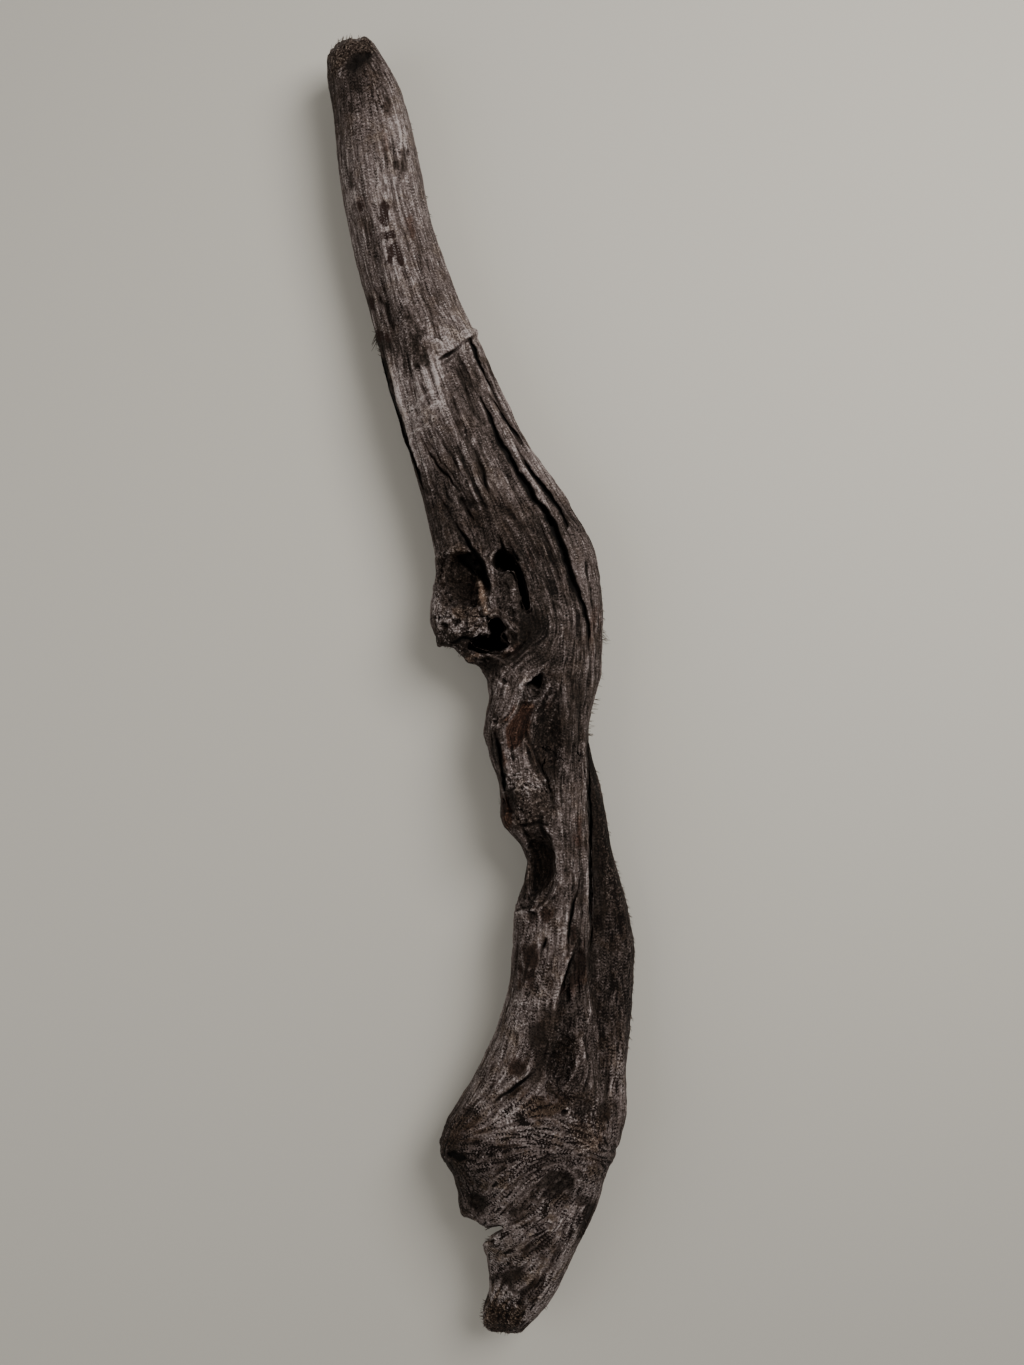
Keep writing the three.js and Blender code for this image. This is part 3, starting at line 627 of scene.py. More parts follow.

# How light the wood is, from place to place: x, y and the tone from 0, dark brown, to 1, silver.
# The low tones on the back limb, which lies in the main stem's shadow, and in the crotch right of
# the knot are painted shade.
TONES: Path = points_of(
    "352,62,0.58 340,108,0.5 360,96,0.56 378,112,0.76 395,130,0.84 350,150,0.64 372,150,0.74 "
    "346,190,0.74 378,188,0.78 410,190,0.84 358,236,0.84 366,262,0.74 396,270,0.74 428,260,0.74 "
    "374,320,0.64 404,345,0.58 428,320,0.66 456,334,0.84 402,384,0.94 432,388,1.02 460,384,0.52 "
    "488,400,0.74 408,436,0.82 436,440,0.84 466,446,0.46 496,456,0.62 536,484,0.8 436,500,0.48 "
    "470,510,0.46 508,520,0.46 545,545,0.38 578,556,0.6 450,538,0.5 436,586,0.66 460,584,0.5 466,622,0.6 "
    "503,590,0.42 492,600,0.54 540,590,0.38 562,600,0.44 590,640,0.56 532,626,0.22 562,650,0.42 "
    "500,668,0.56 512,690,0.7 497,700,0.72 535,693,0.58 556,690,0.32 582,690,0.56 489,740,0.5 "
    "545,735,0.26 570,735,0.5 518,758,0.56 524,783,0.68 545,765,0.34 530,808,0.46 508,815,0.48 "
    "572,780,0.68 583,820,0.8 568,850,0.58 540,850,0.26 536,884,0.34 568,890,0.6 584,900,0.7 "
    "526,932,0.74 548,930,0.76 556,960,0.68 528,966,0.64 522,1004,0.84 545,998,0.84 545,1018,0.6 "
    "575,970,0.46 568,1010,0.46 560,1062,0.44 586,994,0.6 582,1050,0.6 512,1040,0.76 500,1070,0.78 "
    "480,1100,0.8 545,1092,0.56 592,1080,0.4 616,1076,0.67 600,760,0.12 600,830,0.12 608,890,0.24 "
    "618,950,0.28 606,1000,0.3 615,1036,0.37 468,1130,0.5 500,1120,0.76 530,1135,0.72 560,1140,0.64 "
    "585,1135,0.44 608,1140,0.6 452,1160,0.4 486,1160,0.66 506,1162,0.52 524,1180,0.7 560,1152,0.78 "
    "588,1180,0.66 478,1205,0.46 508,1212,0.74 540,1220,0.76 570,1230,0.68 508,1255,0.76 540,1262,0.74 "
    "530,1290,0.74 508,1286,0.7 505,1318,0.54 540,1300,0.74"
)

# Stretches of other finishes, by the mask that they raise: where the wood is crumbled by rot, where
# its grain is short and crinkled, where it has another colour, and where it is darker or paler.
# Some dark and brown stretches are painted shade, and some pale ones are painted highlights.
PATCHES: dict[str, tuple[Patch, ...]] = {
    "rough": (
        Patch(0.75, 5, 0, "326,76 328,50 336,36 352,30 370,38 378,52 372,60 358,66 346,78"),
        Patch(0.9, 6, 0, "438,550 470,546 490,572 492,612 484,640 484,662 456,660 434,646 433,600"),
        Patch(0.6, 6, 0, "495,566 508,566 516,592 516,618 498,616"),
        Patch(0.6, 6, 0, "543,1034 556,1026 572,1030 576,1050 570,1072 556,1080 544,1070"),
        Patch(0.6, 6, 0, "504,776 530,769 549,780 552,822 532,830 508,830 499,815"),
        Patch(0.6, 9, 0, "534,712 550,705 561,709 558,722 566,738 563,762 548,768 532,750"),
        Patch(0.75, 6, 0, "483,1296 500,1290 518,1300 526,1318 502,1342 480,1334"),
        Patch(0.45, 8, 0, "594,745 602,790 616,840 626,900 606,905 596,850"),
        Patch(0.5, 12, 0, "566,1098 595,1096 604,1120 600,1155 578,1158 566,1130"),
        Patch(0.35, 6, 0, "440,352 452,344 468,334 478,344 476,366 462,372 448,368"),
        Patch(0.15, 6, 0, "518,606 530,602 546,618 546,634 528,646 516,642"),
        Patch(0.5, 8, 0, "404,306 416,330 430,366 416,372 404,346 396,322"),
        Patch(0.25, 6, 0, "442,350 454,336 466,322 480,328 470,344 452,358"),
    ),
    "crinkle": (
        Patch(0.6, 20, 0, "504,905 560,900 562,960 552,1030 540,1070 500,1110 440,1130 470,1060 498,1010"),
        Patch(1.0, 20, 0, "436,1120 500,1090 560,1090 610,1100 624,1130 600,1200 560,1280 520,1345 "
            "480,1345 480,1240 440,1180"),
        Patch(0.7, 10, 0, "566,950 590,946 592,1010 582,1080 556,1090 542,1074 552,1020"),
        Patch(0.75, 10, 0, "592,740 602,800 640,930 640,1100 600,1110 594,960"),
        Patch(0.4, 16, 0, "430,500 480,500 520,540 500,560 440,560"),
        Patch(0.5, 12, 0, "340,76 356,62 376,68 386,100 388,134 370,144 352,138 344,110"),
        Patch(0.3, 16, 0, "500,640 560,620 560,700 500,730 486,700"),
    ),
    "rust": (
        Patch(0.85, 4, 4, "516,712 523,705 533,703 538,706 532,714 532,724 527,737 524,747 516,751 506,746 "
            "504,734 508,724"),
        Patch(0.45, 4, 3, "538,704 549,698 553,704 546,710 538,712"),
        Patch(0.6, 4, 3, "499,750 506,747 508,758 503,768 498,762"),
        Patch(0.9, 4, 3, "500,798 507,798 512,810 513,826 506,830 500,816"),
        Patch(0.62, 12, 10, "522,1099 540,1095 556,1100 562,1112 552,1124 535,1120"),
        Patch(0.55, 10, 6, "447,1123 462,1119 482,1121 480,1132 462,1140 448,1143"),
        Patch(0.4, 6, 5, "520,538 530,544 539,562 535,570 525,558"),
        Patch(0.6, 3, 3, "575,818 579,818 580,846 576,846"),
        Patch(0.5, 4, 3, "571,928 578,926 578,942 571,944"),
        Patch(0.45, 5, 4, "592,604 600,606 600,650 594,652 591,630"),
        Patch(0.3, 2, 3, "356,202 361,201 364,208 361,212 357,208"),
        Patch(0.5, 3, 3, "406,218 410,217 414,238 410,244"),
        Patch(0.4, 3, 3, "384,132 388,132 388,150 384,150"),
        Patch(0.5, 3, 2, "500,654 510,650 518,642 521,645 513,655 503,658"),
        Patch(0.4, 9, 9, "486,1302 496,1296 512,1301 522,1314 520,1330 494,1338 483,1326"),
        Patch(0.3, 8, 6, "584,1140 600,1128 606,1140 596,1160"),
        Patch(0.5, 3, 6, "526,948 536,946 537,960 531,966 525,960"),
        Patch(0.45, 3, 6, "518,970 531,971 533,978 522,984"),
        Patch(0.4, 4, 6, "509,1063 517,1060 525,1064 525,1072 518,1078 509,1074"),
        Patch(0.45, 3, 5, "536,908 546,908 556,914 552,920 538,919"),
        Patch(0.45, 5, 6, "572,952 580,945 587,958 584,980 574,992 566,990"),
    ),
    "brown": (
        Patch(0.85, 10, 12, "518,1099 540,1094 558,1099 562,1112 556,1126 535,1122"),
        Patch(0.75, 10, 10, "442,1126 462,1117 484,1119 482,1132 462,1142 444,1146"),
        Patch(0.6, 10, 12, "570,1126 584,1124 596,1130 592,1148 576,1148"),
        Patch(0.65, 10, 12, "492,1150 508,1150 521,1162 514,1176 498,1172"),
        Patch(0.5, 10, 12, "506,1244 522,1240 534,1256 528,1280 510,1280"),
        Patch(0.5, 8, 12, "516,1200 532,1202 534,1216 520,1218"),
        Patch(0.8, 4, 3, "327,76 328,52 336,38 352,32 368,38 376,50 368,54 356,52 347,60 340,74 334,84"),
        Patch(0.85, 9, 9, "486,1300 496,1293 512,1298 524,1312 522,1332 494,1340 481,1326"),
        Patch(0.45, 4, 5, "568,672 576,670 583,690 580,712 571,714 567,694"),
        Patch(0.6, 3, 3, "447,631 470,630 474,637 450,641"),
        Patch(0.6, 6, 8, "592,745 604,790 620,850 628,920 606,930 594,850"),
        Patch(0.5, 12, 14, "470,470 500,480 520,520 528,545 500,548 470,520"),
        Patch(0.6, 6, 6, "526,834 545,832 556,850 554,874 536,898 524,898 530,866"),
        Patch(0.6, 8, 10, "533,708 552,704 562,716 564,744 556,768 540,764 532,740"),
        Patch(0.6, 6, 8, "515,796 546,796 549,822 528,828 516,824"),
        Patch(0.5, 8, 8, "534,1026 548,1024 560,1030 552,1060 544,1084 532,1082 532,1050"),
        # Painted shade: the underside of the broken limb's end, browned as well as darkened.
        Patch(0.6, 5, 6, "436,634 452,631 470,634 484,636 470,646 462,656 450,648 438,646"),
        Patch(0.6, 6, 8, "440,560 470,556 484,580 476,604 444,606"),
        Patch(0.7, 5, 6, "452,604 466,604 478,612 482,626 466,630 456,618"),
    ),
    "tan": (
        Patch(0.9, 3, 3, "474,582 480,578 486,587 490,600 490,614 484,619 479,608 475,596"),
        Patch(0.8, 3, 2, "452,609 464,608 467,614 462,620 453,614"),
        Patch(0.28, 8, 8, "462,608 476,606 485,612 484,624 472,622"),
        Patch(0.4, 4, 3, "450,552 470,549 474,553 452,557"),
        Patch(0.6, 3, 3, "466,651 480,652 480,660 468,661"),
        Patch(0.35, 9, 6, "576,1124 594,1124 600,1140 590,1156 576,1150 570,1138"),
    ),
    "dark": (
        Patch(0.62, 5, 5, "345,70 354,60 370,54 374,58 364,70 359,90 352,94 345,84"),
        Patch(0.6, 4, 3, "337,76 346,66 358,59 360,62 348,71 340,80"),
        Patch(0.25, 8, 6, "341,84 350,92 350,116 343,130 338,110"),
        Patch(0.25, 3, 6, "568,672 576,670 583,690 580,712 571,714 567,694"),
        Patch(0.3, 7, 9, "486,1304 494,1300 506,1312 510,1322 504,1332 490,1330"),
        Patch(0.7, 2, 2, "348,172 352,172 353,186 350,188"),
        Patch(0.6, 2, 2, "394,160 398,158 399,166 395,168"),
        Patch(0.5, 2, 3, "400,150 404,150 406,172 402,174"),
        Patch(0.4, 3, 4, "386,94 393,96 394,108 388,106"),
        Patch(0.6, 4, 6, "409,334 416,334 424,350 428,362 420,368 412,352"),
        Patch(0.35, 5, 6, "400,310 412,308 416,330 408,340 402,328"),
        Patch(0.6, 3, 4, "376,333 388,336 392,342 386,356 382,350"),
        Patch(0.6, 3, 3, "368,298 375,297 377,305 370,307"),
        Patch(0.3, 8, 6, "414,487 424,484 432,500 430,512 420,506"),
        Patch(0.3, 8, 8, "452,366 466,360 474,384 478,420 468,430 458,400"),
        Patch(0.25, 8, 8, "440,505 452,508 462,528 462,545 448,545 436,530"),
        Patch(0.32, 6, 6, "494,566 506,566 516,590 516,616 500,618 494,600"),
        Patch(0.12, 6, 6, "446,560 474,556 484,580 474,600 448,600"),
        # Painted shade: these three patches darken the underside of the broken limb's end and the wood
        # below the cavern.
        Patch(0.7, 4, 5, "434,632 446,638 454,642 450,650 438,648"),
        Patch(0.5, 5, 6, "454,646 470,644 484,654 486,668 478,668 460,660"),
        Patch(0.5, 5, 6, "478,656 500,656 508,662 496,674 484,680"),
        Patch(0.36, 12, 16, "533,714 549,704 560,709 560,722 566,740 562,764 552,770 540,766 531,746 "
            "532,727"),
        Patch(0.4, 4, 4, "491,730 499,730 504,750 506,776 500,776 494,752"),
        Patch(0.4, 3, 4, "500,800 506,796 510,806 504,812"),
        # Painted shade in the deep gap between the strand and the back limb.
        Patch(0.6, 5, 6, "590,741 596,745 604,800 604,930 592,930"),
        # Painted shade along the shaft's left side, which faces away from the light.
        Patch(0.75, 2.5, 3, "376,338 387,366 394,400 403,432 415,462 423,486 417,482 403,443 390,406 "
            "379,370"),
        Patch(0.75, 3, 6, "526,948 536,946 537,960 531,966 525,960"),
        Patch(0.65, 3, 6, "518,970 531,971 533,978 522,984"),
        Patch(0.5, 4, 6, "509,1063 517,1060 525,1064 525,1072 518,1078 509,1074"),
        Patch(0.55, 3, 5, "536,908 546,908 556,914 552,920 538,919"),
        Patch(0.32, 8, 8, "534,1026 548,1024 560,1030 552,1060 544,1084 532,1082 532,1050"),
        Patch(0.22, 8, 8, "546,1040 560,1000 572,960 584,965 582,1010 574,1060 560,1082 546,1074"),
        Patch(0.5, 4, 6, "572,953 580,945 586,958 583,974 575,986 567,986"),
        Patch(0.3, 8, 12, "526,1020 548,1022 552,1044 536,1054 524,1046"),
        Patch(0.25, 6, 10, "533,1220 556,1236 564,1246 552,1266 540,1256 532,1240"),
        Patch(0.5, 3, 6, "529,1246 548,1245 546,1254 528,1256"),
        Patch(0.6, 4, 6, "498,1276 512,1264 529,1263 520,1280 504,1286"),
        Patch(0.5, 5, 8, "512,1292 526,1280 542,1280 534,1298 516,1304"),
        Patch(0.8, 3, 2, "586,1206 596,1200 596,1212 584,1238 577,1238 581,1222"),
        Patch(0.6, 9, 12, "541,1184 550,1173 563,1169 572,1177 571,1188 558,1193 545,1192"),
        # Painted shade in the crotch to the right of the knot.
        Patch(0.55, 10, 12, "519,608 526,600 531,606 540,618 549,631 538,636 524,646 516,641"),
        # Painted shade on the underside of the broken limb's end.
        Patch(0.7, 5, 6, "436,634 452,631 470,634 484,636 470,646 462,656 450,648 438,646"),
        # Painted shade on the strip beside the side slot.
        Patch(0.75, 2, 4, "503,570 510,566 516,574 520,588 523,602 521,610 515,600 510,588 505,578"),
        Patch(0.4, 6, 8, "490,1152 512,1150 514,1166 500,1174 490,1166"),
        Patch(0.45, 4, 6, "508,1206 518,1206 520,1222 510,1224"),
        Patch(0.2, 6, 5, "446,1150 458,1156 462,1176 464,1190 458,1192 452,1176"),
        Patch(0.3, 8, 12, "540,1050 552,1034 566,1028 576,1044 574,1066 560,1078 546,1070"),
        Patch(0.35, 4, 5, "466,1194 478,1192 488,1204 484,1214 472,1208"),
        Patch(0.3, 5, 8, "575,1100 592,1100 596,1118 580,1120"),
    ),
    "stain": (
        Patch(1.0, 2.5, 1.6, "382,203 385,201 388,203 391,208 389,214 390,220 386,226 382,224 380,219 "
            "381,212"),
        Patch(1.0, 2.5, 1.6, "383,234 389,231 394,231 396,237 391,239 389,243 385,239"),
        Patch(1.0, 2.5, 1.8, "389,243 396,243 399,250 403,258 403,266 400,264 396,255 393,258 391,266 "
            "387,263 387,252"),
        Patch(0.9, 2.5, 1.8, "367,230 371,229 373,237 375,247 372,249 369,243 368,238"),
        Patch(0.6, 2.5, 2.0, "357,204 361,203 363,208 360,212 358,209"),
        Patch(0.8, 2.5, 2.0, "370,300 374,298 377,303 373,308"),
        Patch(0.8, 2.5, 2.0, "375,332 381,330 386,334 391,337 388,342 381,340"),
    ),
    "pale": (
        # Painted highlight on the knuckle's step.
        Patch(0.55, 4, 8, "438,352 450,338 464,326 474,328 476,336 462,344 448,356"),
        Patch(0.4, 6, 6, "428,336 440,318 452,312 456,322 444,338 434,352"),
        Patch(0.35, 6, 8, "421,372 432,364 444,380 448,404 436,410 426,392"),
        # Painted highlight on the burl's cap.
        Patch(0.6, 4, 6, "514,777 526,774 538,777 538,788 520,791"),
        # Painted highlight on the small nub.
        Patch(1.0, 2, 1, "511,751 516,750 518,756 513,759"),
        Patch(0.8, 3, 4, "340,170 347,168 349,182 344,186"),
        Patch(0.8, 2, 3, "344,196 358,193 360,199 348,205"),
        Patch(0.4, 4, 6, "390,112 400,116 408,140 404,150 396,132"),
        Patch(0.7, 5, 6, "541,992 550,988 558,994 555,1006 543,1005"),
        Patch(0.35, 6, 8, "514,996 528,999 538,1000 534,1008 520,1010 512,1004"),
        Patch(0.35, 4, 6, "506,1014 534,1016 528,1030 508,1030"),
        Patch(0.4, 8, 10, "613,1046 620,1044 624,1076 619,1092 611,1082"),
        Patch(0.4, 3, 3, "582,966 586,960 592,1010 588,1030 584,1010"),
        Patch(0.6, 3, 5, "597,652 600,660 598,690 592,686 590,666"),
        Patch(0.35, 5, 6, "484,680 496,668 500,676 496,692 488,700"),
        Patch(0.7, 3, 4, "440,596 434,600 436,620 444,618"),
        Patch(0.5, 2, 3, "436,618 448,616 452,622 446,630 438,628"),
    ),
}

# The seams along which the wood is parted at its forks, in the wood's own millimetres.
LIMB_SEAM = points_of("-120,180 -57,180 -34,157 -11,131 7,97 10,69 11,40 8,18 0,-10 -120,-10")
BACK_SEAM = points_of(
    "101,-20 106,-105 109,-165 109,-215 107,-250 104,-285 104,-315 100,-343 94,-373 85,-401"
)
ROOT_SEAM = points_of("-120,-428 -40,-428 84,-402 220,-412")

# Places where the wood's outline is drawn aside.
NUDGES: tuple[Nudge, ...] = (
    Nudge("top_peak", (357, 33), (0.5, 6.0), 6.0),
    Nudge("top_left", (338, 41), (-1.0, -2.0), 6.0),
    Nudge("lobe_corner", (438, 644), (-1.0, 4.0), 5.0),
    Nudge("lobe_notch", (450, 654), (3.0, -4.0), 5.0),
    Nudge("lobe_step", (468, 661), (-1.0, 3.0), 5.0),
    Nudge("flare_notch", (495, 1230), (8.0, -2.0), 4.5),
    Nudge("flare_notch_low", (488, 1236), (2.5, 3.5), 4.0),
    Nudge("burl_corner", (502, 828), (-1.0, 2.5), 4.0),
)

# Fringes of torn fibres along the wood's outline.
FRINGES: tuple[Fringe, ...] = (
    Fringe("frayed_shaft", "main_stem", "410,118 418,160 428,205 440,250", 10, 2.5, 20),
    Fringe("frayed_bend", "main_stem", "592,552 602,600 604,640 601,690", 26, 3.0, 50),
    Fringe("frayed_side", "main_stem", "604,628 604,643", 12, 6.5, 40),
    Fringe("frayed_waist", "main_stem", "598,690 592,712 589,740", 22, 4.5, 10),
    Fringe("frayed_top", "main_stem", "329,70 331,48 342,39 358,37 371,44", 40, 3.2, -70),
    Fringe("frayed_sliver", "main_stem", "369,334 372,342", 9, 9.0, 84),
    Fringe("frayed_lobe", "broken_limb", "433,610 436,636 446,648 462,658", 16, 2.5, 120),
    Fringe("frayed_back", "back_limb", "594,760 606,820 624,880 638,930", 60, 3.2, 60),
    Fringe("frayed_back_low", "back_limb", "640,935 640,990 634,1050", 34, 3.2, 80),
    Fringe("frayed_flare", "root_flare", "626,1110 600,1180 574,1250 545,1310", 26, 2.6, 60),
    Fringe("frayed_tip", "root_flare", "486,1322 500,1331 522,1331", 26, 3.2, 110),
    Fringe("frayed_tip_left", "root_flare", "483,1300 482,1316 487,1328", 22, 3.0, 200),
    Fringe("frayed_left_edge", "main_stem", "370,330 376,350 386,384", 14, 2.6, 215),
    Fringe("frayed_burl", "main_stem", "500,800 503,815 508,830", 12, 2.4, 200),
    Fringe("frayed_notch", "root_flare", "489,1228 486,1240", 12, 3.0, 190),
)


class GrainField:
    """Which way the grain runs at each place of the plan, blended from the flow lines."""

    CELL = 3.0
    LEFT, TOP, RIGHT, BOTTOM = 290.0, 10.0, 670.0, 1360.0
    SOFTENING = 6.0
    STRIDE = 4.0
    WANDER = math.radians(9.0)
    CRINKLE = math.radians(14.0)
    CRINKLE_EDGE = (-8.0, 12.0)

    def __init__(self, lines: Sequence[Path], crinkled: Sequence[Path], wander: Noise) -> None:
        """Blends the lines' directions on a grid. A direction counts the same either way along.

        Args:
            lines: The flow lines, as points in the plan.
            crinkled: The outlines inside which the grain wanders most.
            wander: The noise by which it wanders.
        """
        spots, doubled = [], []
        for line in lines:
            points = np.array(line, float)
            for start, end in zip(points, points[1:]):
                run = end - start
                length = float(np.hypot(*run))
                count = max(1, round(length / self.STRIDE))
                turn = 2.0 * math.atan2(run[1], run[0])
                for step in range(count):
                    spots.append(start + run * (step + 0.5) / count)
                    doubled.append((math.cos(turn), math.sin(turn)))
        spots, doubled = np.array(spots), np.array(doubled)
        xs = np.arange(self.LEFT, self.RIGHT, self.CELL)
        ys = np.arange(self.TOP, self.BOTTOM, self.CELL)
        self.grid = np.zeros((len(ys), len(xs), 2), np.float32)
        for row, y in enumerate(ys):
            away = (xs[:, None] - spots[None, :, 0]) ** 2 + (y - spots[None, :, 1]) ** 2
            weight = (away + self.SOFTENING**2) ** -2.0
            blend = weight @ doubled
            turn = np.arctan2(blend[:, 1], blend[:, 0]) / 2.0
            level = np.full(len(xs), y)
            inside = np.max([depth_inside(xs, level, outline) for outline in crinkled], axis=0)
            spread = self.WANDER + self.CRINKLE * smooth_step(*self.CRINKLE_EDGE, inside)
            places = np.column_stack((xs, level, np.zeros(len(xs))))
            turn += spread * (0.6 * wander.at(places, 30.0) + 0.5 * wander.at(places + 90.0, 15.0))
            self.grid[row, :, 0] = np.cos(turn)
            self.grid[row, :, 1] = np.sin(turn)

    def at(self, x: np.ndarray, y: np.ndarray) -> np.ndarray:
        """The unit direction of the grain at places in the plan, each with a free sign.

        Args:
            x: The places' x in the plan.
            y: The places' y in the plan.

        Returns:
            One direction for each place.
        """
        column = np.clip(((x - self.LEFT) / self.CELL + 0.5).astype(int), 0, self.grid.shape[1] - 1)
        row = np.clip(((y - self.TOP) / self.CELL + 0.5).astype(int), 0, self.grid.shape[0] - 1)
        return self.grid[row, column]


def path_distance(x: np.ndarray, y: np.ndarray, path: Path) -> tuple[np.ndarray, np.ndarray, np.ndarray]:
    """The nearest point of a path for each place.

    Args:
        x: The places' x in the plan.
        y: The places' y in the plan.
        path: Points that start with x and y. Their other values are blended along the path.

    Returns:
        The distance, the side of the path (1 or -1) and the blended values, one row for each place.
    """
    points = np.array(path, float)
    least = np.full(len(x), FAR)
    side = np.ones(len(x))
    values = np.zeros((len(x), points.shape[1] - 2))
    for start, end in zip(points, points[1:]):
        run = end[:2] - start[:2]
        square = float(run @ run)
        share = np.clip(((x - start[0]) * run[0] + (y - start[1]) * run[1]) / square, 0.0, 1.0)
        off_x = x - start[0] - share * run[0]
        off_y = y - start[1] - share * run[1]
        distance = np.hypot(off_x, off_y)
        nearer = distance < least
        least[nearer] = distance[nearer]
        side[nearer] = np.sign(run[0] * off_y - run[1] * off_x)[nearer]
        blended = start[2:] + share[:, None] * (end[2:] - start[2:])
        values[nearer] = blended[nearer]
    return least, side, values


def depth_inside(x: np.ndarray, y: np.ndarray, outline: Path) -> np.ndarray:
    """How far each place lies inside a closed outline. It is below zero outside.

    Args:
        x: The places' x in the plan.
        y: The places' y in the plan.
        outline: The outline's corners in the plan.

    Returns:
        One distance for each place.
    """
    closed = list(outline) + [outline[0]]
    distance, _, _ = path_distance(x, y, closed)
    inside = np.zeros(len(x), bool)
    for (x0, y0), (x1, y1) in zip(closed, closed[1:]):
        crosses = (y0 > y) != (y1 > y)
        if y1 != y0:
            inside ^= crosses & (x < (x1 - x0) * (y - y0) / (y1 - y0) + x0)
    return np.where(inside, distance, -distance)


@dataclass
class WoodSurface:
    """The whole wood as one fine closed surface, carved as arrays in millimetres.

    The places at which marks are read, read_x and read_y, wander a little from the true ones, so
    that no edge of a mark is drawn clean. The pairs of numbers say where a profile is 0 and where
    it is whole. Those across a crack, ridge or pit count in its half widths.
    """

    SMOOTHING = 0.6
    REGROWTH = 0.62
    CALM_ROUNDS = 14
    CLOSE_ROUNDS = 4
    WIDE_ROUNDS = 26
    CLOSE_HEIGHT = 0.30
    WIDE_HEIGHT = 1.6
    MARK_MARGIN = 14.0
    PATCH_MARGIN = 12.0
    FACING = (-0.1, 0.3)
    DEEP = (2.0, 5.0)
    CUT = (1.1, 0.3)
    CUT_SHADE = (1.7, 1.05)
    LIP = ((3.2, 1.5), (0.9, 1.5))
    RIDGE = (2.2, 0.0)
    CREST = (1.6, 0.3)
    BOWL = (1.15, 0.3)
    BOWL_SHADE = (1.3, 0.5)
    RIM = ((2.0, 1.3), (0.8, 1.2))
    LEAST_WIDTH = 1.5
    DARKEST_DEPTH = 5.0
    FAR_LIP = 0.45
    LEAST_LEVEL = 0.2
    LEAST_LENGTH = 0.05
    TONE_SPREAD = 16.0
    TONE_REST = 1e-3
    TONE_REST_SPREAD = 30.0
    MASK_LIMIT = 2.0

    mesh: bpy.types.Mesh
    points: np.ndarray = field(init=False)
    edges: np.ndarray = field(init=False)
    joins: np.ndarray = field(init=False)
    normals: np.ndarray = field(init=False)
    calm: np.ndarray = field(init=False)
    sight: np.ndarray = field(init=False)
    x: np.ndarray = field(init=False)
    y: np.ndarray = field(init=False)
    read_x: np.ndarray = field(init=False)
    read_y: np.ndarray = field(init=False)
    front: np.ndarray = field(init=False)
    flow: np.ndarray = field(init=False)
    climb: np.ndarray = field(init=False)
    grain: np.ndarray = field(init=False)
    fray: np.ndarray = field(init=False)
    broken: np.ndarray = field(init=False)
    masks: dict[str, np.ndarray] = field(init=False, default_factory=dict)

    def __post_init__(self) -> None:
        """Reads the mesh into arrays."""
        self.points = read(self.mesh.vertices, "co", np.float32, 3).astype(float) / MM
        self.edges = read(self.mesh.edges, "vertices", np.int32, 2)
        self.joins = np.bincount(self.edges.ravel(), minlength=len(self.points)).astype(float)
        self.refresh()

    def refresh(self) -> None:
        """Writes the points back and measures the normals and the places in the plan again."""
        self.mesh.vertices.foreach_set("co", (self.points * MM).astype(np.float32).ravel())
        self.mesh.update()
        self.normals = read(self.mesh.vertex_normals, "vector", np.float32, 3).astype(float)
        self.x, self.y = PLAN.of(self.points)
        self.sight = self.points - np.array(PLAN.eye)
        self.sight /= np.linalg.norm(self.sight, axis=1)[:, None]
        self.front = -(self.normals * self.sight).sum(axis=1)

    def around(self, values: np.ndarray) -> np.ndarray:
        """The mean of each point's neighbours.

        Args:
            values: A number, or a row of numbers, for each point.

        Returns:
            The means, in the same shape.
        """
        table = values.reshape(len(values), -1)
        first, second = self.edges[:, 0], self.edges[:, 1]
        mean = np.empty_like(table)
        for column in range(table.shape[1]):
            total = np.bincount(first, table[second, column], len(table))
            total += np.bincount(second, table[first, column], len(table))
            mean[:, column] = total / self.joins
        return mean.reshape(values.shape)

    def smoothed(self, values: np.ndarray, rounds: int) -> np.ndarray:
        """Values after some rounds of moving towards the neighbours' mean.

        Args:
            values: A number, or a row of numbers, for each point.
            rounds: How many rounds.

        Returns:
            The smoothed values.
        """
        for _ in range(rounds):
            values = values + self.SMOOTHING * (self.around(values) - values)
        return values

    def relax(self, rounds: int) -> None:
        """Takes out facets and steps without shrinking the wood, by smoothing in and out in turn.

        Args:
            rounds: How many rounds.
        """
        for _ in range(rounds):
            self.points += self.SMOOTHING * (self.around(self.points) - self.points)
            self.points -= self.REGROWTH * (self.around(self.points) - self.points)
        self.refresh()

    def ruffle(self, noise: Noise) -> None:
        """Settles the resting normals and the wandering places at which marks are read.

        Args:
            noise: The noise by which they wander.
        """
        points = self.points
        self.read_x = self.x + 1.1 * noise.at(points, 9.0) + 0.7 * noise.at(points + 70.0, 3.6)
        self.read_y = self.y + 1.8 * noise.at(points + 150.0, 11.0) + 0.8 * noise.at(points + 210.0, 4.5)
        self.broken = smooth_step(-0.5, 0.5, noise.at(points + 330.0, 7.0))
        self.calm = self.smoothed(self.normals, self.CALM_ROUNDS)
        self.calm /= np.linalg.norm(self.calm, axis=1)[:, None]

    def facing(self, side: Side, some: np.ndarray) -> np.ndarray:
        """How far some points face the side that a mark lies on, from 0 to 1."""
        front = self.front[some]
        return smooth_step(*self.FACING, front if side is Side.FRONT else -front)

    def near(self, path: Path, margin: float) -> np.ndarray:
        """The indices of the points that are read within a margin of a path's box.

        Args:
            path: Points that start with x and y.
            margin: The margin in plan units.

        Returns:
            The indices.
        """
        xs = [point[0] for point in path]
        ys = [point[1] for point in path]
        across = (self.read_x > min(xs) - margin) & (self.read_x < max(xs) + margin)
        along = (self.read_y > min(ys) - margin) & (self.read_y < max(ys) + margin)
        return np.flatnonzero(across & along)

    def push(self, some: np.ndarray, distance: np.ndarray) -> None:
        """Moves some points outwards along the resting normals."""
        self.points[some] += self.calm[some] * distance[:, None]

    def raise_mask(self, mask: str, some: np.ndarray, amount: np.ndarray) -> None:
        """Raises a mask to an amount where it is below that."""
        self.masks[mask][some] = np.maximum(self.masks[mask][some], amount)

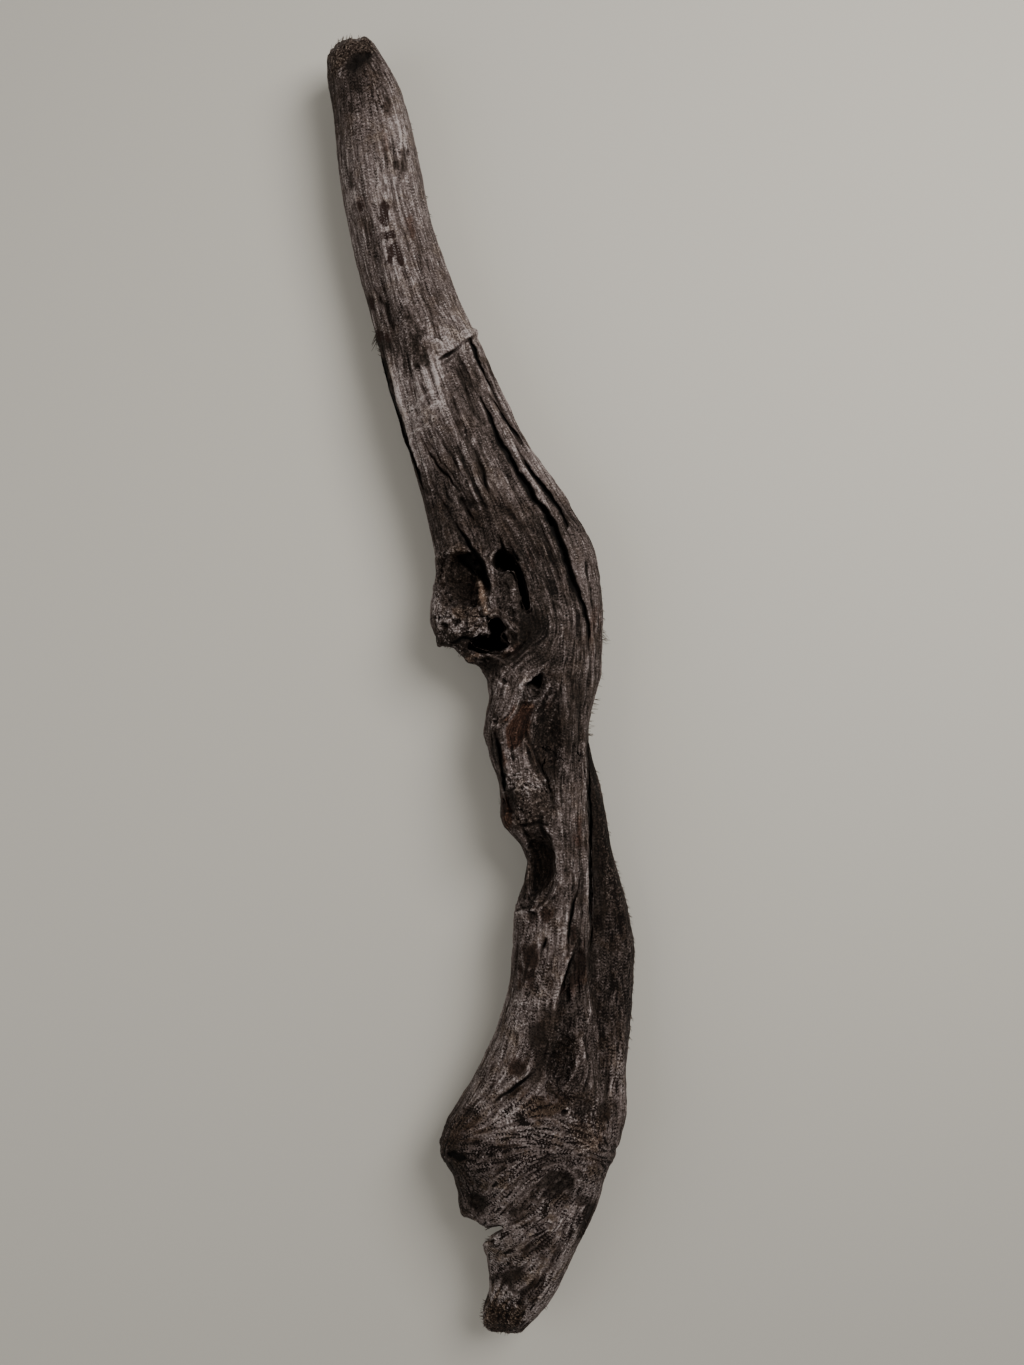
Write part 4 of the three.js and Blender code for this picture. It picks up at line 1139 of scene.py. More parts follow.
    def carve_line(self, line: Line) -> None:
        """Cuts a crack or raises a ridge, and notes its shade.

        Args:
            line: The crack or ridge.
        """
        LOG.debug("%s", line.name)
        some = self.near(line.path, self.MARK_MARGIN)
        distance, side, values = path_distance(self.read_x[some], self.read_y[some], line.path)
        half = np.maximum(values[:, 0], self.LEAST_WIDTH) / 2.0
        depth = values[:, 1]
        out = distance / half
        fade = self.facing(line.side, some)
        if depth.mean() > 0:
            whole = smooth_step(*self.DEEP, depth)
            fade = fade * (whole + (1.0 - whole) * (0.65 + 0.5 * self.broken[some]))
            lip = line.lip * smooth_step(*self.LIP[0], out) * smooth_step(*self.LIP[1], out)
            lip *= np.where(side > 0, 1.0, self.FAR_LIP)
            self.push(some, lip * fade)
            inwards = self.sight[some] if line.side is Side.FRONT else -self.calm[some]
            self.points[some] += inwards * (depth * smooth_step(*self.CUT, out) * fade)[:, None]
            shade = smooth_step(*self.CUT_SHADE, out) * np.clip(depth / self.DARKEST_DEPTH, 0.0, 1.0)
            self.raise_mask("shade", some, shade * fade)
        else:
            self.push(some, -depth * smooth_step(*self.RIDGE, out) * fade)
            crest = smooth_step(*self.CREST, out) * line.pale * (0.4 + 0.6 * self.broken[some])
            self.raise_mask("crest", some, crest * fade)

    def carve_hollow(self, hollow: Hollow) -> None:
        """Sinks a hollow or swells a lump along the line of sight, and notes its shade.

        Args:
            hollow: The hollow or lump.
        """
        LOG.debug("%s", hollow.name)
        some = self.near(hollow.path, self.MARK_MARGIN)
        inside = depth_inside(self.read_x[some], self.read_y[some], hollow.path)
        fade = self.facing(hollow.side, some)
        share = smooth_step(-0.8, hollow.wall, inside) * fade
        self.points[some] += self.sight[some] * (hollow.depth * share)[:, None]
        if hollow.shade:
            shade = smooth_step(-1.2, max(1.0, hollow.wall * 0.7), inside) * hollow.shade * fade
            self.raise_mask("shade", some, shade)
            self.raise_mask("crumbs", some, smooth_step(0.0, 3.0, inside) * hollow.rough * fade)

    def carve_pit(self, pit: Pit) -> None:
        """Sinks a small round pit with its rim.

        Args:
            pit: The pit.
        """
        LOG.debug("%s", pit.name)
        some = self.near((pit.at,), max(pit.radii) * 2.2 + 3.0)
        turn = math.radians(pit.turn)
        off_x, off_y = self.read_x[some] - pit.at[0], self.read_y[some] - pit.at[1]
        across = (off_x * math.cos(turn) + off_y * math.sin(turn)) / pit.radii[0]
        along = (off_y * math.cos(turn) - off_x * math.sin(turn)) / pit.radii[1]
        out = np.hypot(across, along)
        fade = self.facing(pit.side, some)
        rim = smooth_step(*self.RIM[0], out) * smooth_step(*self.RIM[1], out)
        self.push(some, (pit.rim * rim - pit.depth * smooth_step(*self.BOWL, out)) * fade)
        self.raise_mask("shade", some, smooth_step(*self.BOWL_SHADE, out) * pit.shade * fade)
        self.raise_mask("crest", some, rim * min(1.0, pit.rim) * 0.5 * fade)

    def draw_aside(self, nudge: Nudge) -> None:
        """Moves the wood aside in the plan, most at the nudge's middle.

        Args:
            nudge: The nudge.
        """
        LOG.debug("%s", nudge.name)
        some = self.near((nudge.at,), nudge.reach * 2.5)
        away = np.hypot(self.x[some] - nudge.at[0], self.y[some] - nudge.at[1])
        share = np.exp(-((away / nudge.reach) ** 2)) * (PLAN.eye[2] - self.points[some, 2]) / PLAN.reach
        self.points[some, 0] += nudge.by[0] * share
        self.points[some, 1] -= nudge.by[1] * share

    def paint(self, mask: str, patch: Patch) -> None:
        """Adds a patch to a mask, with an edge that frays along the grain.

        Args:
            mask: The mask's name.
            patch: The patch.
        """
        some = self.near(patch.path, self.PATCH_MARGIN)
        inside = depth_inside(self.read_x[some], self.read_y[some], patch.path)
        inside += patch.ragged * self.fray[some]
        amount = smooth_step(-patch.soft * 0.5, patch.soft * 0.5, inside) * patch.amount
        self.raise_mask(mask, some, amount * self.facing(Side.FRONT, some))

    def read_grain(self, grain: GrainField) -> None:
        """Notes the grain's direction in the plan, its climb and its direction in space.

        Args:
            grain: The direction of the grain.
        """
        self.flow = grain.at(self.x, self.y).astype(float)
        space = np.column_stack((self.flow[:, 0], -self.flow[:, 1], np.zeros(len(self.flow))))
        space -= self.normals * (space * self.normals).sum(axis=1)[:, None]
        length = np.linalg.norm(space, axis=1)
        level = np.linalg.norm(space[:, :2], axis=1)
        self.climb = np.clip(space[:, 2] / np.maximum(level, self.LEAST_LEVEL), -1.0, 1.0)
        self.grain = space / np.maximum(length, self.LEAST_LENGTH)[:, None]

    def combed(self, grain: GrainField, noise: Noise, strand: Strand) -> np.ndarray:
        """Noise drawn out along the grain, so that it reads as fibres.

        Args:
            grain: The direction of the grain.
            noise: The noise to draw out.
            strand: The width and length of a fibre, and the steps to each side.

        Returns:
            One value for each point, with a mean of 0 and a spread of 1.
        """
        step = strand.reach / (2 * strand.steps)
        total = noise.at(self.points, strand.width)
        for sign in (1.0, -1.0):
            place = self.points.copy()
            x, y = self.x.copy(), self.y.copy()
            last = self.flow * sign
            for _ in range(strand.steps):
                heading = grain.at(x, y).astype(float)
                heading[(heading * last).sum(axis=1) < 0] *= -1.0
                last = heading
                x += heading[:, 0] * step
                y += heading[:, 1] * step
                place[:, 0] += heading[:, 0] * step
                place[:, 1] -= heading[:, 1] * step
                place[:, 2] += self.climb * sign * step
                total += noise.at(place, strand.width)
        total -= total.mean()
        return total / total.std()

    def tones(self, spots: Path) -> np.ndarray:
        """The tone at each point, blended from spots in the plan.

        Args:
            spots: The x, the y and the tone of each spot.

        Returns:
            One tone for each point.
        """
        total = np.zeros(len(self.points))
        weight = np.full(len(self.points), 1e-9)
        for x, y, tone in spots:
            away = (self.read_x - x) ** 2 + (self.read_y - y) ** 2
            share = np.exp(-away / (2.0 * self.TONE_SPREAD**2))
            share += self.TONE_REST / (1.0 + away / self.TONE_REST_SPREAD**2)
            total += tone * share
            weight += share
        return total / weight

    def measure_relief(self) -> None:
        """Notes how far each point stands out of the wood around it, both close by and further off."""
        close = self.smoothed(self.points, self.CLOSE_ROUNDS)
        wide = self.smoothed(close, self.WIDE_ROUNDS)
        self.masks["relief"] = ((self.points - close) * self.calm).sum(axis=1) / self.CLOSE_HEIGHT
        self.masks["swell"] = ((self.points - wide) * self.calm).sum(axis=1) / self.WIDE_HEIGHT

    def write(self) -> None:
        """Writes the masks and the grain onto the mesh as attributes."""
        for name, values in self.masks.items():
            attribute = self.mesh.attributes.new(name, "FLOAT", "POINT")
            clipped = np.clip(values, -self.MASK_LIMIT, self.MASK_LIMIT)
            attribute.data.foreach_set("value", clipped.astype(np.float32))
        attribute = self.mesh.attributes.new("grain", "FLOAT_VECTOR", "POINT")
        attribute.data.foreach_set("vector", self.grain.astype(np.float32).ravel())


@dataclass(frozen=True)
class Combing:
    """Noise drawn out along the wood's grain, from broad ropes to fine fibres and short flakes.

    The gate says where checks may open: short ones where it is high, and long ones where it is low.
    """

    broad: np.ndarray
    middle: np.ndarray
    fine: np.ndarray
    flaky: np.ndarray
    gate: np.ndarray


@dataclass(frozen=True)
class Fork:
    """A grown part: its node, its slot, its region and the cuts that part it from the rest."""

    node: str
    slot: str
    region: Path
    cuts: tuple[Path, ...]


@dataclass
class Driftwood:
    """The whole piece of wood: its body, its carving and its four grown parts, in millimetres.

    The wood below the shaft is stringier, so each pair from ropes to check_shade is an amount on
    the shaft and what is added to it below. The pairs before them say where a step is 0 and where
    it is whole.
    """

    nodes: dict[str, bpy.types.Object]
    weld: float = 0.001
    swell: float = 0.5
    rough_voxel: float = 2.5
    fine_voxel: float = 1.25
    quick_voxel: float = 2.6
    rough_rounds: int = 14
    fine_rounds: int = 4
    seeds: tuple[int, ...] = (11, 23, 37, 41, 59, 67)
    fray: Strand = Strand(4.0, 20.0, 3)
    broad: Strand = Strand(12.0, 110.0, 6)
    middle: Strand = Strand(5.4, 60.0, 6)
    fine: Strand = Strand(3.0, 26.0, 4)
    flaky: Strand = Strand(3.2, 6.0, 2)
    gate: Strand = Strand(26.0, 60.0, 3)
    stringy: tuple[float, float] = (420.0, 240.0)
    check_middle: tuple[float, float] = (0.7, 1.9)
    check_gate: tuple[float, float] = (-1.0, 0.6)
    long_broad: tuple[float, float] = (1.0, 2.0)
    long_gate: tuple[float, float] = (-0.6, 0.8)
    flake_edge: tuple[float, float] = (0.5, 1.4)
    ropes: tuple[float, float] = (0.20, 0.46)
    fibres: tuple[float, float] = (0.24, 0.18)
    checks: tuple[float, float] = (0.3, 0.6)
    long_checks: tuple[float, float] = (0.3, 1.2)
    check_shade: tuple[float, float] = (0.35, 0.65)
    fine_depth: float = 0.28
    flake_depth: float = 0.6
    most_crinkled: float = 0.5
    lowest: float = 0.2
    seam_reach: float = 1.6
    cut_spacing: float = 500.0
    most_triangles: int = 190_000
    back_slope: float = -0.05
    front_share: float = 0.5
    thinning: float = 1e-5
    stem: Fork = Fork(
        "main_stem",
        "silvered_wood",
        (),
        (LIMB_SEAM, ((220.0, -20.0), *BACK_SEAM, *ROOT_SEAM[2::-1])),
    )
    forks: tuple[Fork, ...] = (
        Fork("broken_limb", "hollow_wood", LIMB_SEAM, (LIMB_SEAM,)),
        Fork(
            "back_limb",
            "shaded_wood",
            (*BACK_SEAM, (85.0, -440.0), (220.0, -440.0), (220.0, -20.0)),
            (((220.0, -20.0), *BACK_SEAM, (85.0, -402.0), ROOT_SEAM[-1]),),
        ),
        Fork("root_flare", "root_wood", (*ROOT_SEAM, (220.0, -720.0), (-120.0, -720.0)), (ROOT_SEAM,)),
    )

    def skin(self, mesh: bpy.types.Mesh, voxel: float) -> bpy.types.Mesh:
        """An even skin over a mesh, which is taken away.

        Args:
            mesh: The mesh to cover.
            voxel: The size of the skin's faces in millimetres.

        Returns:
            The skin's mesh.
        """
        wrapped = linked("wrapped", mesh)
        remesh = wrapped.modifiers.new("remesh", "REMESH")
        remesh.mode = "VOXEL"
        remesh.voxel_size = voxel * MM
        made = self.applied(wrapped)
        bpy.data.meshes.remove(mesh)
        return made

    def applied(self, thing: bpy.types.Object) -> bpy.types.Mesh:
        """The mesh that an object's modifiers give.

        Args:
            thing: The object, which is taken away.

        Returns:
            The mesh.
        """
        graph = bpy.context.evaluated_depsgraph_get()
        made = bpy.data.meshes.new_from_object(thing.evaluated_get(graph))
        bpy.data.objects.remove(thing)
        return made

    def body(self) -> bpy.types.Mesh:
        """Joins the frame's solids and makes one fine, even skin over them.

        Returns:
            The skin's mesh.
        """
        whole = bmesh.new()
        for node in self.nodes.values():
            solid = bmesh.new()
            solid.from_mesh(node.data)
            bmesh.ops.remove_doubles(solid, verts=solid.verts, dist=self.weld * MM)
            solid.normal_update()
            for vert in solid.verts:
                vert.co += vert.normal * self.swell * MM
            swollen = bpy.data.meshes.new("swollen")
            solid.to_mesh(swollen)
            solid.free()
            whole.from_mesh(swollen)
            bpy.data.meshes.remove(swollen)
        joined = bpy.data.meshes.new("joined")
        whole.to_mesh(joined)
        whole.free()
        rough = self.skin(joined, self.rough_voxel)
        WoodSurface(rough).relax(self.rough_rounds)
        return self.skin(rough, self.fine_voxel)

    def carved(self) -> WoodSurface:
        """Carves every mark and the grain into the body, and notes the masks that colour it.

        Returns:
            The carved surface.
        """
        surface = WoodSurface(self.body())
        LOG.info("body of %d points", len(surface.points))
        surface.relax(self.fine_rounds)
        noise = [Noise(seed) for seed in self.seeds]
        crinkled = [patch.path for patch in PATCHES["crinkle"] if patch.amount > self.most_crinkled]
        grain = GrainField([points_of(line) for line in FLOW_LINES], crinkled, noise[5])
        surface.ruffle(noise[0])
        surface.read_grain(grain)
        surface.fray = 0.6 * surface.combed(grain, noise[1], self.fray)
        for mask in ("shade", "crest", "crumbs", *PATCHES):
            surface.masks[mask] = np.zeros(len(surface.points))
        for mask, patches in PATCHES.items():
            for patch in patches:
                surface.paint(mask, patch)
        combing = Combing(
            broad=surface.combed(grain, noise[2], self.broad),
            middle=surface.combed(grain, noise[3], self.middle),
            fine=surface.combed(grain, noise[4], self.fine),
            flaky=surface.combed(grain, noise[0], self.flaky),
            gate=surface.combed(grain, noise[5], self.gate),
        )
        self.carve_grain(surface, combing, noise)
        self.carve_marks(surface, combing, noise)
        surface.refresh()
        surface.read_grain(grain)
        surface.write()
        return surface

    def carve_grain(self, surface: WoodSurface, combing: Combing, noise: Sequence[Noise]) -> None:
        """Carves the grain's relief, and notes the masks of tone, checks and relief.

        Args:
            surface: The surface, whose patches are painted.
            combing: The noise that is drawn out along its grain.
            noise: The plain noise.
        """
        rough = surface.masks["rough"]
        crinkle = surface.masks["crinkle"]
        stringy = smooth_step(*self.stringy, surface.points[:, 1])
        checks = smooth_step(*self.check_middle, -combing.middle)
        checks *= smooth_step(*self.check_gate, combing.gate)
        long_checks = smooth_step(*self.long_broad, -combing.broad)
        long_checks *= smooth_step(*self.long_gate, -combing.gate)
        relief = combing.broad * (self.graded(self.ropes, stringy) * (1.0 - 0.86 * crinkle))
        relief += combing.middle * self.graded(self.fibres, stringy) * (1.0 - 0.84 * crinkle)
        relief += self.fine_depth * combing.fine * (1.0 - 0.6 * crinkle)
        relief -= checks * self.graded(self.checks, stringy) * (1.0 - 0.8 * crinkle)
        relief -= long_checks * self.graded(self.long_checks, stringy) * (1.0 - 0.7 * crinkle)
        relief -= crinkle * self.flake_depth * smooth_step(*self.flake_edge, combing.flaky)
        relief *= 1.0 - 0.8 * rough
        # Rotten wood has lumps and pits in place of fibres.
        lumps = 1.2 * noise[1].at(surface.points, 7.0) + 1.0 * noise[2].at(surface.points, 3.6)
        pits = smooth_step(0.25, 0.6, noise[3].at(surface.points, 4.0))
        relief += rough * (lumps - 1.5 * pits)
        surface.push(np.arange(len(relief)), relief)
        surface.refresh()
        surface.measure_relief()
        surface.masks["tone"] = surface.tones(TONES) + 0.03 * combing.broad + 0.05 * combing.gate
        surface.masks["checks"] = np.clip(checks + long_checks, 0.0, 1.0) * (1.0 - 0.8 * crinkle)
        surface.masks["checks"] *= self.graded(self.check_shade, stringy)

    @staticmethod
    def graded(amounts: tuple[float, float], stringy: np.ndarray) -> np.ndarray:
        """An amount on the smooth shaft, with what is added to it where the wood is stringy."""
        return amounts[0] + amounts[1] * stringy

    def carve_marks(self, surface: WoodSurface, combing: Combing, noise: Sequence[Noise]) -> None:
        """Carves the hollows with their crumbs, the pits and the lines, and draws the outline aside.

        Args:
            surface: The surface, whose grain is carved.
            combing: The noise that is drawn out along its grain.
            noise: The plain noise.
        """
        for hollow in HOLLOWS:
            surface.carve_hollow(hollow)
        crumbs = 1.6 * noise[4].at(surface.points, 6.5) + 1.1 * noise[5].at(surface.points, 3.4)
        crumbs += 0.6 * combing.middle
        surface.push(np.arange(len(crumbs)), crumbs * surface.masks.pop("crumbs"))
        for pit in PITS:
            surface.carve_pit(pit)
        for line in LINES:
            surface.carve_line(line)
        for nudge in NUDGES:
            surface.draw_aside(nudge)
        surface.points[:, 2] = np.maximum(surface.points[:, 2], self.lowest)

    def part_of(self, places: np.ndarray) -> np.ndarray:
        """Which part each place belongs to.

        Args:
            places: An array of x, y, z rows in millimetres.

        Returns:
            For each place 0 for the main stem, or the number of a fork from 1 up.
        """
        part = np.zeros(len(places), np.int32)
        for index, fork in enumerate(self.forks, 1):
            part[depth_inside(places[:, 0], places[:, 1], fork.region) > 0] = index
        return part

    def mark_parts(self, surface: WoodSurface) -> None:
        """Gives each face its part as its material index, and draws the seams' points onto the cuts.

        Args:
            surface: The carved surface.
        """
        mesh = surface.mesh
        part = self.part_of(read(mesh.polygons, "center", np.float32, 3).astype(float) / MM)
        mesh.polygons.foreach_set("material_index", part)
        corners = read(mesh.loops, "vertex_index", np.int32, 1)[:, 0]
        sizes = read(mesh.polygons, "loop_total", np.int32, 1)[:, 0]
        of_corner = np.repeat(part, sizes)
        least = np.full(len(surface.points), len(self.forks) + 1)
        most = np.zeros(len(surface.points), int)
        np.minimum.at(least, corners, of_corner)
        np.maximum.at(most, corners, of_corner)
        seam = np.flatnonzero(least != most)
        points = surface.points
        best = np.full(len(seam), FAR)
        target = points[seam, :2].copy()
        for cut in (cut for fork in (self.stem, *self.forks) for cut in fork.cuts):
            for (x0, y0), (x1, y1) in zip(cut, cut[1:]):
                run = np.array((x1 - x0, y1 - y0), float)
                off = points[seam, :2] - (x0, y0)
                share = np.clip((off @ run) / (run @ run), 0.0, 1.0)
                spot = (x0, y0) + share[:, None] * run
                away = np.linalg.norm(points[seam, :2] - spot, axis=1)
                nearer = away < best
                best[nearer] = away[nearer]
                target[nearer] = spot[nearer]
        close = best < self.seam_reach
        points[seam[close], :2] = target[close]
        surface.refresh()

    def close(self, piece: bmesh.types.BMesh, cuts: Sequence[Path]) -> None:
        """Closes a part where it was cut from the rest, with faces that lie in the cut.

        Args:
            piece: The part's mesh.
            cuts: The cuts that part it from the rest.
        """
        edges = [edge for edge in piece.edges if edge.is_boundary]
        rim = sorted({vert for edge in edges for vert in edge.verts}, key=lambda vert: vert.index)
        places = np.array([tuple(vert.co) for vert in rim]) / MM
        best = np.full(len(rim), FAR)
        along = np.zeros(len(rim))
        travelled = 0.0
        for cut in cuts:
            for start, end in zip(cut, cut[1:]):
                length = math.dist(start, end)
                distance, _, _ = path_distance(places[:, 0], places[:, 1], (start, end))
                run = (np.array(end, float) - start) / length
                share = np.clip((places[:, :2] - start) @ run, 0.0, length)
                nearer = distance < best
                best[nearer] = distance[nearer]
                along[nearer] = travelled + share[nearer]
                travelled += length
            travelled += self.cut_spacing
        kept = [vert.co.copy() for vert in rim]
        for vert, place, z in zip(rim, along, places[:, 2]):
            vert.co = Vector((place, z, 0.0)) * MM
        made = bmesh.ops.triangle_fill(piece, use_beauty=True, edges=edges, normal=(0.0, 0.0, 1.0))
        for vert, place in zip(rim, kept):
            vert.co = place
        left = [edge for edge in piece.edges if edge.is_boundary]
        if left:
            LOG.info("%d edges closed plainly", len(left))
            bmesh.ops.holes_fill(piece, edges=left, sides=0)
            bmesh.ops.triangulate(piece, faces=[face for face in piece.faces if len(face.verts) > 4])
        for face in made["geom"]:
            if isinstance(face, bmesh.types.BMFace):
                face.smooth = False
        for edge in edges:
            edge.smooth = False

    def thinned(self, mesh: bpy.types.Mesh) -> bpy.types.Mesh:
        """Thins a part's faces to the most that it may have, and those of its back first.

        Args:
            mesh: The part's mesh, which is taken away.

        Returns:
            The thinner mesh.
        """
        if triangles(mesh) <= self.most_triangles:
            return mesh
        thing = linked("thinned", mesh)
        group = thing.vertex_groups.new(name="thinning")
        seam = set()
        edges = bmesh.new()
        edges.from_mesh(mesh)
        for edge in edges.edges:
            if edge.is_boundary:
                seam.update(vert.index for vert in edge.verts)
        edges.free()
        back, front = [], []
        for vert in mesh.vertices:
            if vert.index not in seam:
                (back if vert.normal.z < self.back_slope else front).append(vert.index)
        group.add(back, 1.0, "REPLACE")
        group.add(front, self.front_share, "REPLACE")
        thin = thing.modifiers.new("thin", "DECIMATE")
        thin.ratio = self.most_triangles / triangles(mesh)
        thin.vertex_group = group.name
        thin.vertex_group_factor = self.thinning
        made = self.applied(thing)
        bpy.data.meshes.remove(mesh)
        return made

    def parts(self, surface: WoodSurface) -> list[tuple[Fork, bpy.types.Mesh]]:
        """Parts the carved surface at the forks.

        Args:
            surface: The carved surface, whose mesh is taken away.

        Returns:
            Each part with its closed mesh.
        """
        self.mark_parts(surface)
        made = []
        for index, fork in enumerate((self.stem, *self.forks)):
            piece = bmesh.new()
            piece.from_mesh(surface.mesh)
            others = [face for face in piece.faces if face.material_index != index]
            bmesh.ops.delete(piece, geom=others, context="FACES")
            for face in piece.faces:
                face.material_index = 0
                face.smooth = True
            mesh = bpy.data.meshes.new(fork.node)
            piece.to_mesh(mesh)
            piece.free()
            mesh = self.thinned(mesh)
            piece = bmesh.new()
            piece.from_mesh(mesh)
            self.close(piece, fork.cuts)
            bmesh.ops.recalc_face_normals(piece, faces=piece.faces)
            piece.to_mesh(mesh)
            piece.free()
            made.append((fork, mesh))
        bpy.data.meshes.remove(surface.mesh)
        return made

    def build(self) -> list[bpy.types.Object]:
        """Makes the four parts and their torn fibres as pieces, each in place of its node.

        Returns:
            The pieces.
        """
        surface = self.carved()
        slots = {fork.node: fork.slot for fork in (self.stem, *self.forks)}
        pieces = FrayedFibres(surface).build(slots)
        for fork, mesh in self.parts(surface):
            piece = linked(f"weathered_{fork.node}", mesh)
            mesh.materials.clear()
            mesh.materials.append(WeatheredWood(fork.slot).material())
            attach(piece, BODY)
            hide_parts(fork.node)
            pieces.append(piece)
        return pieces


Term = Union["Value", float]


@dataclass(frozen=True)
class Value:
    """A number on a shader socket. Sums on it add their nodes."""

    shader: "Shader"
    socket: bpy.types.NodeSocket

    def math(self, operation: str, *terms: Term) -> "Value":
        """The result of one Math node on some terms."""
        node = self.shader.node("ShaderNodeMath", {"operation": operation}, dict(enumerate(terms)))
        return Value(self.shader, node.outputs[0])

    def __add__(self, other: Term) -> "Value":
        """This and the other."""
        return self.math("ADD", self, other)

    def __sub__(self, other: Term) -> "Value":
        """This less the other."""
        return self.math("SUBTRACT", self, other)

    def __rsub__(self, other: Term) -> "Value":
        """The other less this."""
        return self.math("SUBTRACT", other, self)

    def __mul__(self, other: Term) -> "Value":
        """This times the other."""
        return self.math("MULTIPLY", self, other)

    __radd__ = __add__

    def rise(self, low: float, high: float) -> "Value":
        """A smooth rise of this.

        Args:
            low: Where the rise starts, at 0.
            high: Where it ends, at 1.

        Returns:
            The risen value.
        """
        settings = {"interpolation_type": "SMOOTHSTEP"}
        node = self.shader.node("ShaderNodeMapRange", settings, {0: self, 1: low, 2: high, 3: 0.0, 4: 1.0})
        return Value(self.shader, node.outputs[0])


Stop = tuple[float, tuple[float, float, float]]
Setting = Union[str, bool, float, int, Sequence[Stop]]
Feed = Union[Value, bpy.types.NodeSocket, float, tuple[float, ...]]


@dataclass
class Shader:
    """A material's nodes as they are put together."""

    SHEEN = 0.12

    name: str
    material: bpy.types.Material = field(init=False)
    tree: bpy.types.NodeTree = field(init=False)

    def __post_init__(self) -> None:
        """Makes the empty material."""
        self.material = bpy.data.materials.new(self.name)
        self.material.use_nodes = True
        self.tree = self.material.node_tree
        self.tree.nodes.clear()

    def node(
        self,
        kind: str,
        settings: Optional[dict[str, Setting]] = None,
        feeds: Optional[dict[Union[int, str], Feed]] = None,
    ) -> bpy.types.Node:
        """Adds a node.

        Args:
            kind: The node's type.
            settings: The node's own settings. A ramp's stops are pairs of a place and a colour.
            feeds: What each socket is given: a value, a link or plain numbers.

        Returns:
            The node.
        """
        node = self.tree.nodes.new(kind)
        for key, value in (settings or {}).items():
            if key == "stops":
                self.set_stops(node.color_ramp, value)
            else:
                setattr(node, key, value)
        for key, value in (feeds or {}).items():
            if isinstance(value, Value):
                self.tree.links.new(value.socket, node.inputs[key])
            elif isinstance(value, bpy.types.NodeSocket):
                self.tree.links.new(value, node.inputs[key])
            else:
                node.inputs[key].default_value = value
        return node

    def set_stops(self, ramp: bpy.types.ColorRamp, stops: Sequence[Stop]) -> None:
        """Sets a colour ramp's stops.

        Args:
            ramp: The ramp.
            stops: A place and a colour for each stop.
        """
        while len(ramp.elements) < len(stops):
            ramp.elements.new(1.0)
        for element, (place, colour) in zip(ramp.elements, stops):
            element.position = place
            element.color = (*colour, 1.0)

    def mask(self, name: str) -> Value:
        """One of the piece's own masks."""
        node = self.node("ShaderNodeAttribute", {"attribute_name": name})
        return Value(self, node.outputs["Fac"])

    def noise(self, place: Feed, size: float, detail: float = 2.0, roughness: float = 0.5) -> Value:
        """Noise from about 0 to 1, whose cells have a size in millimetres."""
        feeds = {"Vector": place, "Scale": 1.0 / (size * MM), "Detail": detail, "Roughness": roughness}
        return Value(self, self.node("ShaderNodeTexNoise", {"noise_dimensions": "3D"}, feeds).outputs[0])

    def along(self, place: Feed, grain: Feed, strand: Strand) -> list[bpy.types.NodeSocket]:
        """Places along the grain, spaced evenly over a strand.

        Args:
            place: The place that is shaded, at the strand's middle.
            grain: The direction of the grain.
            strand: The strand.

        Returns:
            One place for each step.
        """
        places = []
        for step in range(strand.steps):
            offset = strand.reach * (step / (strand.steps - 1) - 0.5) * MM
            feeds = {0: grain, 1: (offset,) * 3, 2: place}
            moved = self.node("ShaderNodeVectorMath", {"operation": "MULTIPLY_ADD"}, feeds)
            places.append(moved.outputs[0])
        return places

    def fibres(self, place: Feed, grain: Feed, strand: Strand, gain: float) -> Value:
        """Noise drawn out along the grain, centred on 0.

        Args:
            place: The place that is shaded.
            grain: The direction of the grain.
            strand: The width and length of a fibre, and how many places along it are averaged.
            gain: What the result is multiplied by.

        Returns:
            The fibres' value.
        """
        total: Term = 0.0
        for spot in self.along(place, grain, strand):
            total = self.noise(spot, strand.width, 1.0) + total
        return (total * (1.0 / strand.steps) - 0.5) * gain

    def flecks(self, place: Feed, grain: Feed, strand: Strand, sign: float) -> Value:
        """Crisp flecks along the grain, from the most of some noise at a few places on it.

        Args:
            place: The place that is shaded.
            grain: The direction of the grain.
            strand: The width and length of a fleck, and how many places along it are compared.
            sign: Which side of the noise is taken, 1 or -1, so that flecks of both kinds lie apart.

        Returns:
            The flecks' value, centred on 0.
        """
        most: Optional[Value] = None
        for spot in self.along(place, grain, strand):
            noise = (self.noise(spot, strand.width, 2.5, 0.6) - 0.5) * sign
            most = noise if most is None else most.math("MAXIMUM", most, noise)
        return most

    def ramp(self, value: Feed, stops: Sequence[Stop]) -> bpy.types.NodeSocket:
        """The colour that a value picks from a ramp of stops."""
        return self.node("ShaderNodeValToRGB", {"stops": stops}, {0: value}).outputs[0]

    def mix(self, share: Feed, first: Feed, second: Feed) -> bpy.types.NodeSocket:
        """A colour between two others.

        Args:
            share: How much of the second colour there is.
            first: The first colour.
            second: The second colour.

        Returns:
            The mixed colour's socket.
        """
        node = self.node("ShaderNodeMix", {"data_type": "RGBA"}, {0: share, 6: first, 7: second})
        return node.outputs[2]

    def finish(self, colour: Feed, roughness: float, height: Optional[Value] = None) -> bpy.types.Material:
        """Feeds the surface and returns the material.

        Args:
            colour: The base colour.
            roughness: The roughness.
            height: The bump's height in millimetres, or None.

        Returns:
            The material.
        """
        feeds: dict[Union[int, str], Feed] = {"Base Color": colour, "Roughness": roughness}
        feeds["Specular IOR Level"] = self.SHEEN
        if height is not None:
            bump = self.node("ShaderNodeBump", {}, {"Strength": 1.0, "Distance": MM, "Height": height})
            feeds["Normal"] = bump.outputs[0]
        surface = self.node("ShaderNodeBsdfPrincipled", {}, feeds)
        output = self.node("ShaderNodeOutputMaterial")
        self.tree.links.new(surface.outputs[0], output.inputs[0])
        return self.material


